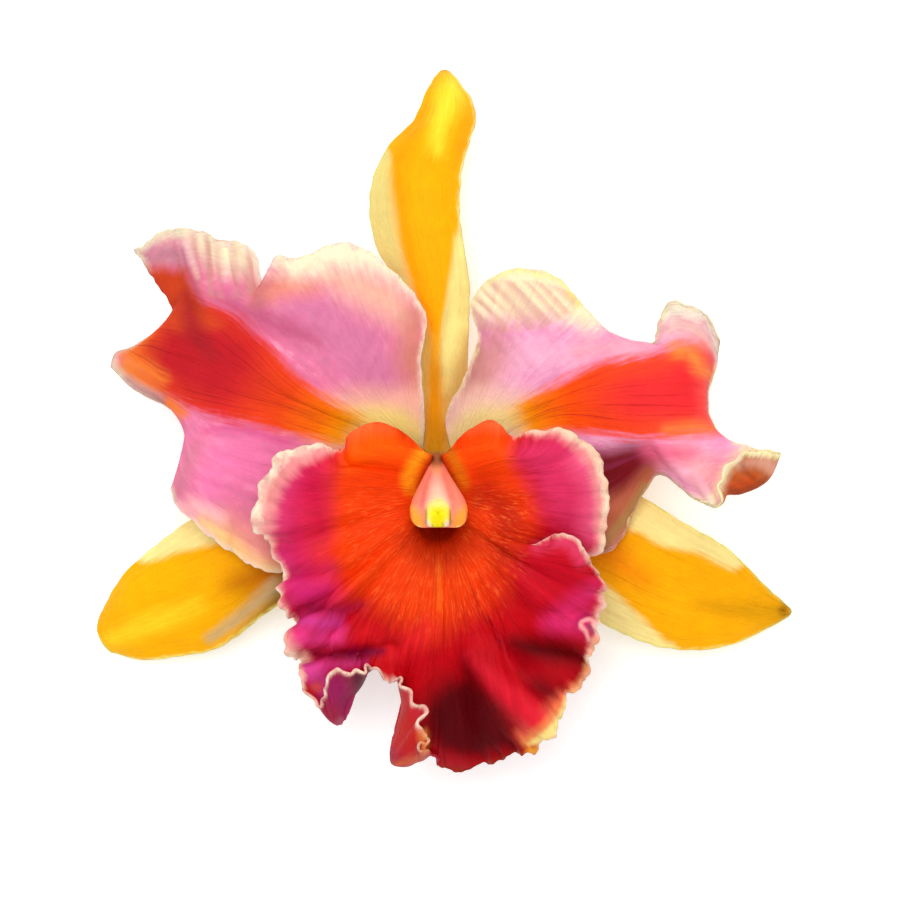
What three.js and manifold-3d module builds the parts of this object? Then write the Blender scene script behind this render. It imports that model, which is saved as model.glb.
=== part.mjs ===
// A cattleya orchid flower, as picked, lying face up on a table.
// Millimetres, +Z up. The flower faces +Z, its dorsal sepal points to +Y, and it rests on z = 0.
// Control points are given in the flower's own plan, whose x = 0, y = 0 is the dorsal sepal's foot.
import * as THREE from "three";
import { mergeVertices } from "three/addons/utils/BufferGeometryUtils.js";
import Module from "manifold-3d";

// ---------------------------------------------------------------- driving dimensions
const PLAN_TO_ROW = [-1.4, -6.1, 0]; // moves the plan so that the middle of the whole flower is at x = 0, y = 0
const SEAT_GAP = 0.35; // running gap left between two organs that grow from one another
const SEPAL_THICK = 1.5;
const PETAL_THICK = 1.2;
const LIP_THICK = 1.1;
const EDGE_SHARE = 0.45; // thickness of a blade's edge as a share of its thickness in the middle

const STALK_RADIUS = 2.3;
const HUB = { y: -3.5, radius: 3.8, top: 18.2 }; // the ovary's top, which carries every organ
const OVARY_RIBS = { count: 6, depth: 0.05 }; // depth as a share of the ovary's radius

const BLADE_STEPS = 2; // facet steps between two control points of a blade
const COLUMN_STEPS = { along: 12, round: 16 };
const STALK_STEPS = { along: 24, round: 18 };
const CAP_STEPS = { round: 16, down: 10 };

// ---------------------------------------------------------------- surfaces
const vec = (p) => new THREE.Vector3(...p);
const through = (points) => new THREE.CatmullRomCurve3(points, false, "catmullrom", 0.5);

// A smooth surface through rows of control points. u runs from row to row, v runs along each row.
function surfaceThrough(rows) {
  const across = rows.map((row) => through(row.map(vec)));
  const sections = new Map();
  return (u, v) => {
    if (!sections.has(v)) sections.set(v, through(across.map((curve) => curve.getPoint(v))));
    return sections.get(v).getPoint(u);
  };
}

// A closed blade of the given thickness whose middle surface goes through the rows of control points.
function blade(rows, thick) {
  const surface = surfaceThrough(rows);
  const stepsU = (rows.length - 1) * BLADE_STEPS;
  const stepsV = (rows[0].length - 1) * BLADE_STEPS;
  const columns = stepsV + 1;
  const count = (stepsU + 1) * columns;
  const middle = [];
  for (let i = 0; i <= stepsU; i++)
    for (let j = 0; j <= stepsV; j++) middle.push(surface(i / stepsU, j / stepsV));
  const at = (i, j) => middle[i * columns + j];
  const positions = new Float32Array(count * 2 * 3);
  for (let i = 0; i <= stepsU; i++)
    for (let j = 0; j <= stepsV; j++) {
      const alongU = at(Math.min(i + 1, stepsU), j).clone().sub(at(Math.max(i - 1, 0), j));
      const alongV = at(i, Math.min(j + 1, stepsV)).clone().sub(at(i, Math.max(j - 1, 0)));
      const normal = alongU.cross(alongV).normalize();
      const onEdge = i === stepsU || j === 0 || j === stepsV;
      const half = 0.5 * thick * (onEdge ? EDGE_SHARE : 1);
      const k = i * columns + j;
      at(i, j).clone().addScaledVector(normal, half).toArray(positions, k * 3);
      at(i, j).clone().addScaledVector(normal, -half).toArray(positions, (count + k) * 3);
    }
  const faces = [];
  const quad = (a, b, c, d) => faces.push(a, b, c, a, c, d);
  for (let i = 0; i < stepsU; i++)
    for (let j = 0; j < stepsV; j++) {
      const a = i * columns + j;
      quad(a, a + columns, a + columns + 1, a + 1);
      quad(count + a, count + a + 1, count + a + columns + 1, count + a + columns);
    }
  const rim = [];
  for (let j = 0; j < stepsV; j++) rim.push([j, j + 1]);
  for (let i = 0; i < stepsU; i++) rim.push([i * columns + stepsV, (i + 1) * columns + stepsV]);
  for (let j = stepsV; j > 0; j--) rim.push([stepsU * columns + j, stepsU * columns + j - 1]);
  for (let i = stepsU; i > 0; i--) rim.push([i * columns, (i - 1) * columns]);
  for (const [a, b] of rim) quad(a, b, count + b, count + a);
  return facingOut(positions, faces);
}

// A BufferGeometry whose faces point outwards, whichever way the control points ran.
function facingOut(positions, faces) {
  const [a, b, c] = [new THREE.Vector3(), new THREE.Vector3(), new THREE.Vector3()];
  let volume = 0;
  for (let k = 0; k < faces.length; k += 3) {
    a.fromArray(positions, faces[k] * 3);
    b.fromArray(positions, faces[k + 1] * 3);
    c.fromArray(positions, faces[k + 2] * 3);
    volume += a.dot(b.cross(c));
  }
  const ordered = volume < 0 ? faces.slice().reverse() : faces;
  return new THREE.BufferGeometry()
    .setAttribute("position", new THREE.BufferAttribute(positions, 3))
    .setIndex(ordered);
}

// ---------------------------------------------------------------- sepals
// Each row runs across the sepal: left edge, left of the midrib, midrib, right of it, right edge.
const DORSAL_SEPAL = [
  [[-2.4, 0.7, 14.6], [-1.3, 0.7, 14.4], [-0.2, 0.7, 14.3], [0.9, 0.7, 14.4], [2.0, 0.7, 14.6]],
  [[-2.2, 10, 15.6], [-1.2, 10, 15.2], [-0.2, 10, 15.0], [1.0, 10, 15.3], [2.4, 10, 15.8]],
  [[-3.6, 21, 16.2], [-2.0, 21, 16.8], [-0.6, 21, 17.0], [2.6, 21, 17.2], [6.2, 21, 16.4]],
  [[-7.0, 32, 15.6], [-3.6, 32, 17.8], [-0.4, 32, 18.4], [3.0, 32, 18.2], [6.4, 32, 16.8]],
  [[-13.2, 45, 13.6], [-8.0, 45, 17.2], [-3.4, 45, 18.6], [0.8, 45, 18.2], [4.6, 45, 16.6]],
  [[-11.4, 57, 12.6], [-7.4, 57, 15.2], [-2.8, 57, 16.4], [1.4, 57, 15.6], [5.0, 57, 13.6]],
  [[-4.8, 66, 9.8], [-2.0, 66, 11.4], [1.0, 66, 12.0], [4.6, 66, 10.8], [7.6, 66, 8.4]],
  [[-1.4, 72, 6.4], [0.2, 72, 7.2], [2.0, 72, 7.4], [4.0, 72, 6.6], [6.0, 72, 5.0]],
  [[1.0, 76.2, 1.0], [1.4, 76.4, 1.2], [1.8, 76.5, 1.3], [2.2, 76.4, 1.2], [2.6, 76.2, 1.0]],
];
// Each row of a lateral sepal or a petal runs from its upper edge to its lower edge.
const LEFT_SEPAL = [
  [[-4.2, -3.6, 14.2], [-4.3, -4.4, 14.1], [-4.4, -5.2, 14.0], [-4.1, -6.0, 14.1], [-3.7, -6.8, 14.2]],
  [[-14, -3.6, 13.8], [-13.6, -6.6, 14.3], [-13, -9.5, 14.5], [-11.6, -12, 14.3], [-10, -14.5, 13.6]],
  [[-28, -4.6, 13.4], [-27.4, -9.8, 14.8], [-26, -15, 15.2], [-23.6, -20, 14.6], [-21, -24.6, 12.6]],
  [[-41, -9.6, 12.4], [-40.4, -15.6, 14.0], [-39, -21.5, 14.4], [-36.2, -27, 13.2], [-33, -31.8, 10.0]],
  [[-51, -15.2, 10.2], [-50.8, -21.2, 12.0], [-50, -27, 12.4], [-47.6, -33.4, 10.8], [-44, -39.6, 7.4]],
  [[-60, -22.2, 7.0], [-60, -27, 8.4], [-59, -31.5, 8.8], [-57, -36.8, 7.8], [-54, -41.7, 5.4]],
  [[-66, -29.4, 3.2], [-65.6, -31.6, 4.2], [-65, -34.2, 4.6], [-63.8, -38, 4.2], [-62, -41.4, 3.2]],
  [[-68.2, -35.0, 0.5], [-68.4, -35.8, 0.7], [-68.3, -36.6, 0.8], [-67.8, -37.6, 0.7], [-67.2, -38.6, 0.5]],
];
const RIGHT_SEPAL = [
  [[4.2, -3.6, 14.2], [4.3, -4.4, 14.1], [4.4, -5.2, 14.0], [4.1, -6.0, 14.1], [3.7, -6.8, 14.2]],
  [[13, -2.8, 13.8], [12.8, -6, 14.3], [12.5, -9.2, 14.5], [11.4, -12, 14.3], [10, -15, 13.6]],
  [[26, -3.6, 13.4], [25.8, -9.2, 14.8], [25, -15, 15.2], [23.2, -20.4, 14.6], [21, -25.6, 12.8]],
  [[38, -7.8, 12.6], [37.8, -14.4, 14.0], [37, -21, 14.2], [34.8, -27.8, 13.4], [32, -34, 11.0]],
  [[49, -14.4, 11.2], [48.6, -20.2, 12.2], [47.5, -26, 12.0], [45.8, -32.8, 11.4], [43.5, -39.1, 9.0]],
  [[58, -19.6, 8.6], [57.8, -24.4, 9.2], [57, -29, 8.6], [55.8, -35, 8.6], [54, -40.1, 7.0]],
  [[65, -26.4, 5.2], [64.9, -28.8, 5.2], [64.5, -31.2, 4.6], [63.9, -34.6, 4.8], [63, -37.6, 4.2]],
  [[71.0, -31.8, 0.7], [71.2, -32.2, 0.6], [71.3, -32.6, 0.5], [71.1, -33.0, 0.6], [70.8, -33.4, 0.7]],
];

// ---------------------------------------------------------------- petals
const LEFT_PETAL = [
  [[-3.5, -0.6, 17.6], [-4.1, -1.5, 17.5], [-4.3, -2.4, 17.4], [-4.5, -3.3, 17.4], [-4.5, -4.3, 17.5]],
  [[-2.5, 7, 20.4], [-7.0, 3.4, 18.9], [-9.0, 1.2, 18.5], [-10, -1.6, 18.4], [-9.2, -9, 17.6]],
  [[-3.2, 18, 22.6], [-13.5, 8.2, 20.8], [-16.5, 4.6, 20.2], [-18, 0.2, 20.0], [-17, -17, 18.2]],
  [[-2.4, 27.6, 23.8], [-20, 11.8, 22.6], [-23.5, 7.5, 21.8], [-25.5, 2, 21.4], [-26, -23, 18.8]],
  [[-9.4, 36.4, 25.4], [-27, 16, 24.0], [-31, 10.5, 23.0], [-33.5, 4.2, 22.8], [-34.5, -24.2, 19.6]],
  [[-18.5, 41.6, 26.6], [-33, 21, 25.0], [-37, 13, 23.8], [-40, 5.4, 23.4], [-42, -20, 20.2]],
  [[-28, 38.4, 25.0], [-37, 24.4, 25.0], [-41, 15, 24.0], [-44, 6.4, 23.4], [-49.4, -14, 21.4]],
  [[-33.2, 38.8, 27.4], [-39.4, 26.4, 25.2], [-43.5, 16.2, 24.0], [-46.4, 7, 23.2], [-53, -9.8, 22.6]],
  [[-34.8, 35.0, 23.4], [-41, 27.6, 25.0], [-45.6, 17.4, 23.8], [-48.4, 7.8, 23.0], [-52, -5.4, 22.4]],
  [[-38, 40.2, 27.6], [-43.4, 28.8, 25.0], [-48.4, 18.6, 23.4], [-50.4, 8.8, 22.6], [-50, -0.6, 21.2]],
  [[-44, 42.0, 27.8], [-46.4, 30.2, 24.4], [-51, 19.6, 22.6], [-52.6, 10.2, 22.0], [-49.8, 3.0, 20.6]],
  [[-49.5, 44.4, 29.6], [-49.4, 31.6, 24.6], [-53.6, 20.4, 21.4], [-55.4, 11.8, 21.0], [-52, 7.2, 20.0]],
  [[-55.2, 43.4, 28.2], [-51.6, 31.2, 23.0], [-57.4, 20.4, 20.0], [-59.6, 13.8, 19.6], [-57, 10.4, 19.0]],
  [[-60.6, 40.2, 25.0], [-53.0, 28.6, 19.4], [-60.4, 20.6, 17.6], [-64.8, 17.6, 17.2], [-63, 14.0, 17.6]],
];
const RIGHT_PETAL = [
  [[3.5, -0.6, 17.6], [4.1, -1.5, 17.5], [4.3, -2.4, 17.4], [4.5, -3.3, 17.4], [4.5, -4.3, 17.5]],
  [[2.8, 7, 20.4], [8, 3.6, 18.9], [9, 1.8, 18.5], [10, -1, 18.4], [8.8, -9, 17.6]],
  [[6.2, 14.4, 22.2], [13.5, 7.8, 20.8], [15, 5, 20.4], [16, 1.8, 20.0], [15.5, -15, 18.0]],
  [[8.6, 22.8, 24.0], [18.5, 10.8, 22.2], [20, 7.4, 21.6], [21.5, 3.2, 21.2], [23, -18.6, 18.0]],
  [[6.8, 29.4, 27.0], [23, 13.2, 23.4], [24.5, 9, 22.8], [26, 3.6, 22.2], [30, -20.4, 17.8]],
  [[11.5, 35, 28.6], [27.5, 15.6, 24.6], [29, 10, 24.2], [30.5, 3.4, 23.0], [35, -19.2, 17.6]],
  [[19, 36.2, 27.0], [31.5, 17.2, 25.6], [33, 10.4, 25.4], [34.5, 3, 24.0], [38.4, -14.4, 17.0]],
  [[26.2, 33, 25.0], [35.5, 18.2, 26.2], [37, 10.6, 26.4], [38.5, 2.6, 25.2], [41, -8.8, 18.4]],
  [[30.2, 26, 24.2], [39, 18.8, 26.4], [40.5, 10.6, 27.2], [42, 2.4, 26.6], [44.6, -4.6, 22.0]],
  [[36, 22.9, 24.8], [42.4, 19.4, 26.4], [43.5, 10.6, 27.4], [45, 2.4, 27.4], [48.8, -6.8, 25.6]],
  [[42, 21.0, 25.6], [45.4, 20.2, 26.6], [46.5, 10.6, 27.2], [48, 2.4, 27.6], [52.6, -9.8, 28.0]],
  [[45.4, 27.6, 29.0], [48.2, 21.4, 26.8], [49, 10.6, 26.4], [50.6, 2.6, 27.2], [55.6, -11.6, 28.8]],
  [[48.8, 29.4, 29.6], [51, 21.6, 26.0], [51.2, 10.6, 25.0], [53.2, 2.8, 26.0], [58.6, -7.4, 27.4]],
  [[54.0, 26.8, 27.6], [54, 20.4, 24.0], [53.2, 10.4, 22.6], [56.4, 3.2, 24.0], [61.8, -3.2, 25.2]],
  [[57.0, 20.6, 23.4], [55.6, 16.2, 20.8], [54.2, 9.8, 19.6], [59.0, 1.6, 20.6], [67.8, -2.4, 21.8]],
];

// ---------------------------------------------------------------- lip
// The lip is a fan of veins round its throat. Each entry is one vein's bend, where the blade turns
// over, and its end on the edge; the rest of the vein is worked out from the throat.
const THROAT = { x: 0, y: -9.6, rx: 7.6, ry: 10.8, zTop: 25, zBottom: 33.5 };
const THROAT_BULGE = { out: 0.74, up: 0.42 }; // the throat wall's middle, as shares from root to throat
const LIP_ROOT = { x: 0, y: -3.6, rx: 3.5, ry: 3.3, z: HUB.top + 0.7 };
const OPEN_SECTOR = 0.62; // radians each side of +Y that no vein leaves from, where the column shows
const ARCH = { shares: [0.33, 0.68], front: 2.4, back: 0.4 }; // how a vein rises between throat and bend
const LIP_VEINS = [
  { bend: [-3.9, -0.8, 25.6], end: [-3.9, 0.6, 26.6] },
  { bend: [-7.2, 1.0, 29.6], end: [-7.4, 4.0, 30.6] },
  { bend: [-12.0, 1.6, 34.0], end: [-11.8, 5.6, 34.0] },
  { bend: [-16.4, -0.6, 36.6], end: [-16.8, 3.8, 35.4] },
  { bend: [-18.4, -2.8, 34.8], end: [-19.6, 0.4, 32.2] },
  { bend: [-22.0, -3.4, 37.6], end: [-24.2, 1.0, 35.6] },
  { bend: [-26.6, -5.2, 38.4], end: [-31.0, -0.4, 35.2] },
  { bend: [-29.0, -9.6, 37.0], end: [-35.0, -6.6, 32.8] },
  { bend: [-29.6, -14.6, 36.4], end: [-36.6, -14.4, 33.8] },
  { bend: [-28.2, -18.6, 33.0], end: [-33.6, -18.6, 28.4] },
  { bend: [-26.6, -22.8, 33.6], end: [-31.0, -25.6, 29.6] },
  { bend: [-26.4, -27.6, 37.0], end: [-31.4, -31.4, 34.8] },
  { bend: [-24.0, -31.0, 33.4], end: [-27.6, -34.8, 27.6] },
  { bend: [-25.2, -35.0, 36.6], end: [-30.2, -40.4, 35.0] },
  { bend: [-22.0, -37.0, 30.8], end: [-26.6, -42.6, 25.4] },
  { bend: [-21.4, -42.0, 33.4], end: [-25.6, -47.8, 33.6] },
  { bend: [-20.0, -54.2, 26.8], end: [-22.0, -45.6, 38.4] },
  { bend: [-16.8, -49.6, 26.4], end: [-16.8, -43.8, 36.6] },
  { bend: [-10.4, -41.4, 29.6], end: [-10.6, -46.0, 28.2] },
  { bend: [-6.8, -50.4, 27.4], end: [-5.8, -48.4, 35.6] },
  { bend: [-8.6, -62.0, 24.6], end: [-2.6, -53.6, 37.2] },
  { bend: [-3.0, -59.4, 23.2], end: [-1.8, -58.4, 31.6] },
  { bend: [2.0, -54.0, 25.4], end: [3.4, -64.4, 21.4] },
  { bend: [7.6, -54.6, 26.6], end: [10.6, -62.8, 22.8] },
  { bend: [13.2, -52.6, 30.2], end: [17.4, -60.2, 28.0] },
  { bend: [18.6, -50.0, 34.6], end: [23.0, -56.4, 32.8] },
  { bend: [21.4, -44.6, 30.6], end: [26.0, -50.2, 27.2] },
  { bend: [24.6, -39.8, 32.0], end: [29.8, -45.0, 30.2] },
  { bend: [26.0, -34.4, 35.6], end: [31.8, -38.6, 33.8] },
  { bend: [27.2, -28.8, 35.4], end: [33.2, -31.0, 31.8] },
  { bend: [26.4, -23.2, 38.4], end: [32.8, -25.2, 35.6] },
  { bend: [25.4, -19.0, 41.2], end: [30.2, -20.2, 40.0] },
  { bend: [26.0, -18.6, 33.8], end: [32.4, -20.6, 29.0] },
  { bend: [27.6, -14.0, 35.6], end: [33.6, -14.6, 31.6] },
  { bend: [27.6, -8.6, 37.0], end: [34.2, -8.2, 33.2] },
  { bend: [25.8, -3.6, 37.6], end: [31.8, -0.8, 34.6] },
  { bend: [21.8, -0.6, 38.2], end: [25.8, 4.0, 36.2] },
  { bend: [17.4, -0.8, 36.8], end: [19.0, 3.6, 34.8] },
  { bend: [13.4, -1.0, 34.8], end: [14.6, 3.0, 32.6] },
  { bend: [10.8, 1.6, 34.2], end: [10.8, 6.0, 34.0] },
  { bend: [6.6, 1.0, 29.6], end: [6.4, 4.2, 30.4] },
  { bend: [3.4, -0.8, 25.6], end: [3.2, 0.4, 26.4] },
];

// One row for each vein, from its root on the ovary up the throat's wall and out to the edge.
function lipRows() {
  const { lerp } = THREE.MathUtils;
  const firstAngle = Math.PI / 2 + OPEN_SECTOR;
  const angleStep = (2 * Math.PI - 2 * OPEN_SECTOR) / (LIP_VEINS.length - 1);
  return LIP_VEINS.map(({ bend, end }, k) => {
    const [cos, sin] = [Math.cos(firstAngle + k * angleStep), Math.sin(firstAngle + k * angleStep)];
    const towardsBack = (1 + sin) / 2;
    const root = [LIP_ROOT.x + LIP_ROOT.rx * cos, LIP_ROOT.y + LIP_ROOT.ry * sin, LIP_ROOT.z];
    const throatZ = lerp(THROAT.zBottom, THROAT.zTop, towardsBack);
    const throat = [THROAT.x + THROAT.rx * cos, THROAT.y + THROAT.ry * sin, throatZ];
    const wallShare = (axis) => (axis === 2 ? THROAT_BULGE.up : THROAT_BULGE.out);
    const wall = root.map((r, axis) => lerp(r, throat[axis], wallShare(axis)));
    const rise = lerp(ARCH.front, ARCH.back, towardsBack);
    const arch = ARCH.shares.map((share) => {
      const [x, y, z] = throat.map((t, axis) => lerp(t, bend[axis], share));
      return [x, y, z + rise];
    });
    return [root, wall, throat, ...arch, bend, end];
  });
}

// ---------------------------------------------------------------- column and anther cap
// Rings along the column from its foot to its end: centre, half width and half depth.
const COLUMN_RINGS = [
  { centre: [0, -2.8, 19.4], half: [2.6, 1.9] },
  { centre: [0, -4.6, 25.0], half: [2.8, 2.1] },
  { centre: [0, -7.6, 31.0], half: [3.6, 2.5] },
  { centre: [0.1, -10.4, 37.0], half: [4.8, 2.9] },
  { centre: [0.3, -12.2, 41.0], half: [5.5, 3.2] },
  { centre: [0.4, -13.2, 43.8], half: [4.9, 3.0] },
  { centre: [0.4, -13.4, 45.4], half: [3.6, 2.4] },
];
const CAP = { centre: [0.3, -13.0, 45.3], half: [2.5, 2.0, 2.5] };

function columnGeometry() {
  const centres = through(COLUMN_RINGS.map(({ centre }) => vec(centre)));
  const halves = through(COLUMN_RINGS.map(({ half }) => new THREE.Vector3(half[0], half[1], 0)));
  return tubeOfRings(COLUMN_STEPS, (t) => {
    const half = halves.getPoint(t);
    const outline = (angle) => [half.x * Math.cos(angle), half.y * Math.sin(angle)];
    return { centre: centres.getPoint(t), tangent: centres.getTangent(t), outline };
  });
}

// A closed tube whose rings are given by ringAt(t): its centre, its tangent, and outline(angle),
// the distances along +X and along the direction square to both +X and the tangent.
function tubeOfRings({ along: stepsAlong, round: stepsRound }, ringAt) {
  const points = [];
  for (let i = 0; i <= stepsAlong; i++) {
    const { centre, tangent, outline } = ringAt(i / stepsAlong);
    const side = new THREE.Vector3(1, 0, 0).addScaledVector(tangent, -tangent.x).normalize();
    const up = new THREE.Vector3().crossVectors(tangent, side);
    for (let k = 0; k < stepsRound; k++) {
      const [a, b] = outline((2 * Math.PI * k) / stepsRound);
      points.push(centre.clone().addScaledVector(side, a).addScaledVector(up, b));
    }
  }
  const faces = [];
  const at = (i, k) => i * stepsRound + (k % stepsRound);
  for (let i = 0; i < stepsAlong; i++)
    for (let k = 0; k < stepsRound; k++)
      faces.push(at(i, k), at(i, k + 1), at(i + 1, k + 1), at(i, k), at(i + 1, k + 1), at(i + 1, k));
  for (const i of [0, stepsAlong]) {
    points.push(ringAt(i / stepsAlong).centre.clone());
    for (let k = 0; k < stepsRound; k++) {
      const [a, b] = i ? [at(i, k), at(i, k + 1)] : [at(i, k + 1), at(i, k)];
      faces.push(a, b, points.length - 1);
    }
  }
  return facingOut(new Float32Array(points.flatMap((p) => p.toArray())), faces);
}

// ---------------------------------------------------------------- ovary and stalk
// The stalk lies on the table under the lip and turns up into the ovary.
const STALK_LINE = [
  [4.5, -51, STALK_RADIUS],
  [2.2, -35.7, STALK_RADIUS + 0.1],
  [0.4, -21.4, STALK_RADIUS + 0.5],
  [0, HUB.y - 7.4, 5.2],
  [0, HUB.y - 1.6, 11],
  [0, HUB.y, 15.6],
  [0, HUB.y, HUB.top],
];
const OVARY_SPAN = [0.45, 0.75]; // where along the line the stalk swells into the ovary

function stalkGeometry() {
  const line = through(STALK_LINE.map(vec));
  return tubeOfRings(STALK_STEPS, (t) => {
    const swell = THREE.MathUtils.smoothstep(t, ...OVARY_SPAN);
    const size = THREE.MathUtils.lerp(STALK_RADIUS, HUB.radius, swell);
    const groove = (angle) => 0.5 * OVARY_RIBS.depth * (1 - Math.cos(OVARY_RIBS.count * angle));
    const radius = (angle) => size * (1 - swell * groove(angle));
    const outline = (angle) => [radius(angle) * Math.cos(angle), radius(angle) * Math.sin(angle)];
    const tangent = t === 1 ? new THREE.Vector3(0, 0, 1) : line.getTangent(t);
    return { centre: line.getPoint(t), tangent, outline };
  });
}

// ---------------------------------------------------------------- solids
const wasm = await Module();
wasm.setup();

function solidOf(geometry) {
  const bare = geometry.clone();
  for (const name of ["normal", "uv"]) bare.deleteAttribute(name);
  const merged = mergeVertices(bare, 1e-4);
  return new wasm.Manifold(
    new wasm.Mesh({
      numProp: 3,
      vertProperties: new Float32Array(merged.attributes.position.array),
      triVerts: new Uint32Array(merged.index.array),
    }),
  );
}

function geometryOf(solid) {
  const mesh = solid.getMesh();
  return new THREE.BufferGeometry()
    .setAttribute("position", new THREE.BufferAttribute(new Float32Array(mesh.vertProperties), 3))
    .setIndex(new THREE.BufferAttribute(new Uint32Array(mesh.triVerts), 1));
}

function capGeometry({ centre, half }, grow) {
  return new THREE.SphereGeometry(1, CAP_STEPS.round, CAP_STEPS.down)
    .scale(half[0] + grow, half[1] + grow, half[2] + grow)
    .translate(...centre);
}

// ---------------------------------------------------------------- the flower
const flower = new THREE.Group();

function add(name, geometry, colour, roughness) {
  const material = new THREE.MeshStandardMaterial({ color: colour, roughness, metalness: 0 });
  const mesh = new THREE.Mesh(geometry, material);
  mesh.name = name;
  mesh.position.set(...PLAN_TO_ROW);
  flower.add(mesh);
}

add("dorsal_sepal", blade(DORSAL_SEPAL, SEPAL_THICK), "#f5a800", 0.5);
add("left_sepal", blade(LEFT_SEPAL, SEPAL_THICK), "#f5a800", 0.5);
add("right_sepal", blade(RIGHT_SEPAL, SEPAL_THICK), "#f5a800", 0.5);
add("left_petal", blade(LEFT_PETAL, PETAL_THICK), "#e07ab0", 0.5);
add("right_petal", blade(RIGHT_PETAL, PETAL_THICK), "#e07ab0", 0.5);
add("lip", blade(lipRows(), LIP_THICK), "#d81e2c", 0.45);

const capPocket = solidOf(capGeometry(CAP, SEAT_GAP));
add("column", geometryOf(solidOf(columnGeometry()).subtract(capPocket)), "#f5a08a", 0.4);
add("anther_cap", capGeometry(CAP, 0), "#f7e21c", 0.4);
add("ovary_stalk", stalkGeometry(), "#8fae55", 0.5);

export default flower;
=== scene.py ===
"""A cattleya orchid flower, as picked, lying face up on a pale table.

The tables of points are in millimetres in the flower's own plan: x to the right, y towards the tip
of the dorsal sepal, z up from the table. The plan's x = 0, y = 0 is the dorsal sepal's foot, and
PLAN_TO_ROW moves it into the row's frame.
"""

from __future__ import annotations

import logging
import math
from dataclasses import dataclass, replace
from enum import Enum
from typing import Callable, Iterator, Mapping, Sequence

import bpy
import numpy as np
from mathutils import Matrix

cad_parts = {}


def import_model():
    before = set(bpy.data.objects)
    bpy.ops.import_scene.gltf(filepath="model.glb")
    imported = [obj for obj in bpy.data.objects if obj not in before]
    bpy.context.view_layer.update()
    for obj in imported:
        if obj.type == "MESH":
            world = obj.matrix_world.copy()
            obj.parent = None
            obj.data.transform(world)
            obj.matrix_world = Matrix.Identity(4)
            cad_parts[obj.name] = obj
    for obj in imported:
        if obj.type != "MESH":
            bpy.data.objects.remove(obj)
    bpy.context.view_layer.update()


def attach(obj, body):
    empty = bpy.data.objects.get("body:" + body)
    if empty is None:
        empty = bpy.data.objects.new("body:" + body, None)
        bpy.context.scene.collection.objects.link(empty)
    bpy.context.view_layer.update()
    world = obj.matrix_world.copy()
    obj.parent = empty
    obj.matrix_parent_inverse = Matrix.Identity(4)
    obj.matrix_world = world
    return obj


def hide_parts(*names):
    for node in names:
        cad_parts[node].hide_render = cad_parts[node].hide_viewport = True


LOG = logging.getLogger("orchid")

MM = 0.001
PLAN_TO_ROW = np.array([-1.4, -6.1, 0.0])

Grid = np.ndarray
Point = Sequence[float]


# ------------------------------------------------------------------ numbers
# Steps in which a control cell is measured, and the form of irregular waves.
FINE_STEPS = 24
WEAKEST_WAVE, SWAY, SWAY_RATE = 0.15, 0.25, 0.9


def spline(points: Grid, at: Grid) -> Grid:
    """Values on the Catmull-Rom curve through points, along axis 0.

    Args:
        points: Control values, shaped (n, ...).
        at: Parameters from 0 to n - 1.

    Returns:
        An array shaped (len(at), ...).
    """
    points = np.asarray(points, float)
    padded = np.concatenate([2 * points[:1] - points[1:2], points, 2 * points[-1:] - points[-2:-1]])
    cell = np.clip(np.floor(at).astype(int), 0, len(points) - 2)
    t = (np.asarray(at) - cell).reshape((-1,) + (1,) * (points.ndim - 1))
    a, b, c, d = (padded[cell + k] for k in range(4))
    return 0.5 * (2 * b + (c - a) * t + (2 * a - 5 * b + 4 * c - d) * t**2 + (3 * b - a - 3 * c + d) * t**3)


def even_steps(controls: Grid, count: int, crowd: Callable[[Grid], Grid] | None = None) -> Grid:
    """Parameters along axis 0 of a control grid that fall at even distances.

    Args:
        controls: Control points, shaped (n, m, 3).
        count: How many parameters to give.
        crowd: How densely to step at a parameter, against 1 elsewhere.

    Returns:
        The parameters, from 0 to n - 1.
    """
    fine = np.linspace(0, len(controls) - 1, FINE_STEPS * (len(controls) - 1) + 1)
    step = np.linalg.norm(np.diff(spline(controls, fine), axis=0), axis=2).max(1) + 1e-6
    if crowd is not None:
        step = step * crowd(0.5 * (fine[1:] + fine[:-1]))
    total = np.concatenate([[0.0], np.cumsum(step)])
    return np.interp(np.linspace(0, total[-1], count), total, fine)


def ripple(distance: Grid, period: float, seed: int) -> Grid:
    """Smooth irregular waves from -1 to 1 along a distance.

    Args:
        distance: Where the waves are read, in mm.
        period: The mean length of a wave, in mm.
        seed: Fixes the waves.
    """
    rng = np.random.default_rng(seed)
    place = distance / (0.5 * period)
    low = int(np.floor(place.min())) - 2
    count = int(np.ceil(place.max())) - low + 4
    sign = np.where(np.arange(count) % 2 == 0, 1.0, -1.0)
    knots = sign * rng.uniform(WEAKEST_WAVE, 1.0, count)
    place = place - low + SWAY * np.sin(place * SWAY_RATE + seed)
    return spline(knots, place.ravel()).reshape(distance.shape)


def inside_area(points: Grid, outline: Grid) -> Grid:
    """Signed distance in mm from a closed outline, positive inside.

    Args:
        points: Shaped (n, 2).
        outline: Shaped (m, 2).
    """
    start, end = outline, np.roll(outline, -1, axis=0)
    best = np.full(len(points), np.inf)
    inside = np.zeros(len(points), bool)
    for a, b in zip(start, end):
        side = b - a
        t = np.clip(((points - a) @ side) / max(side @ side, 1e-9), 0, 1)
        best = np.minimum(best, np.linalg.norm(points - a - t[:, None] * side, axis=1))
        if a[1] != b[1]:
            spans = (a[1] > points[:, 1]) != (b[1] > points[:, 1])
            reach = side[0] * (points[:, 1] - a[1]) / side[1] + a[0]
            inside ^= spans & (points[:, 0] < reach)
    return np.where(inside, best, -best)


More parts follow.
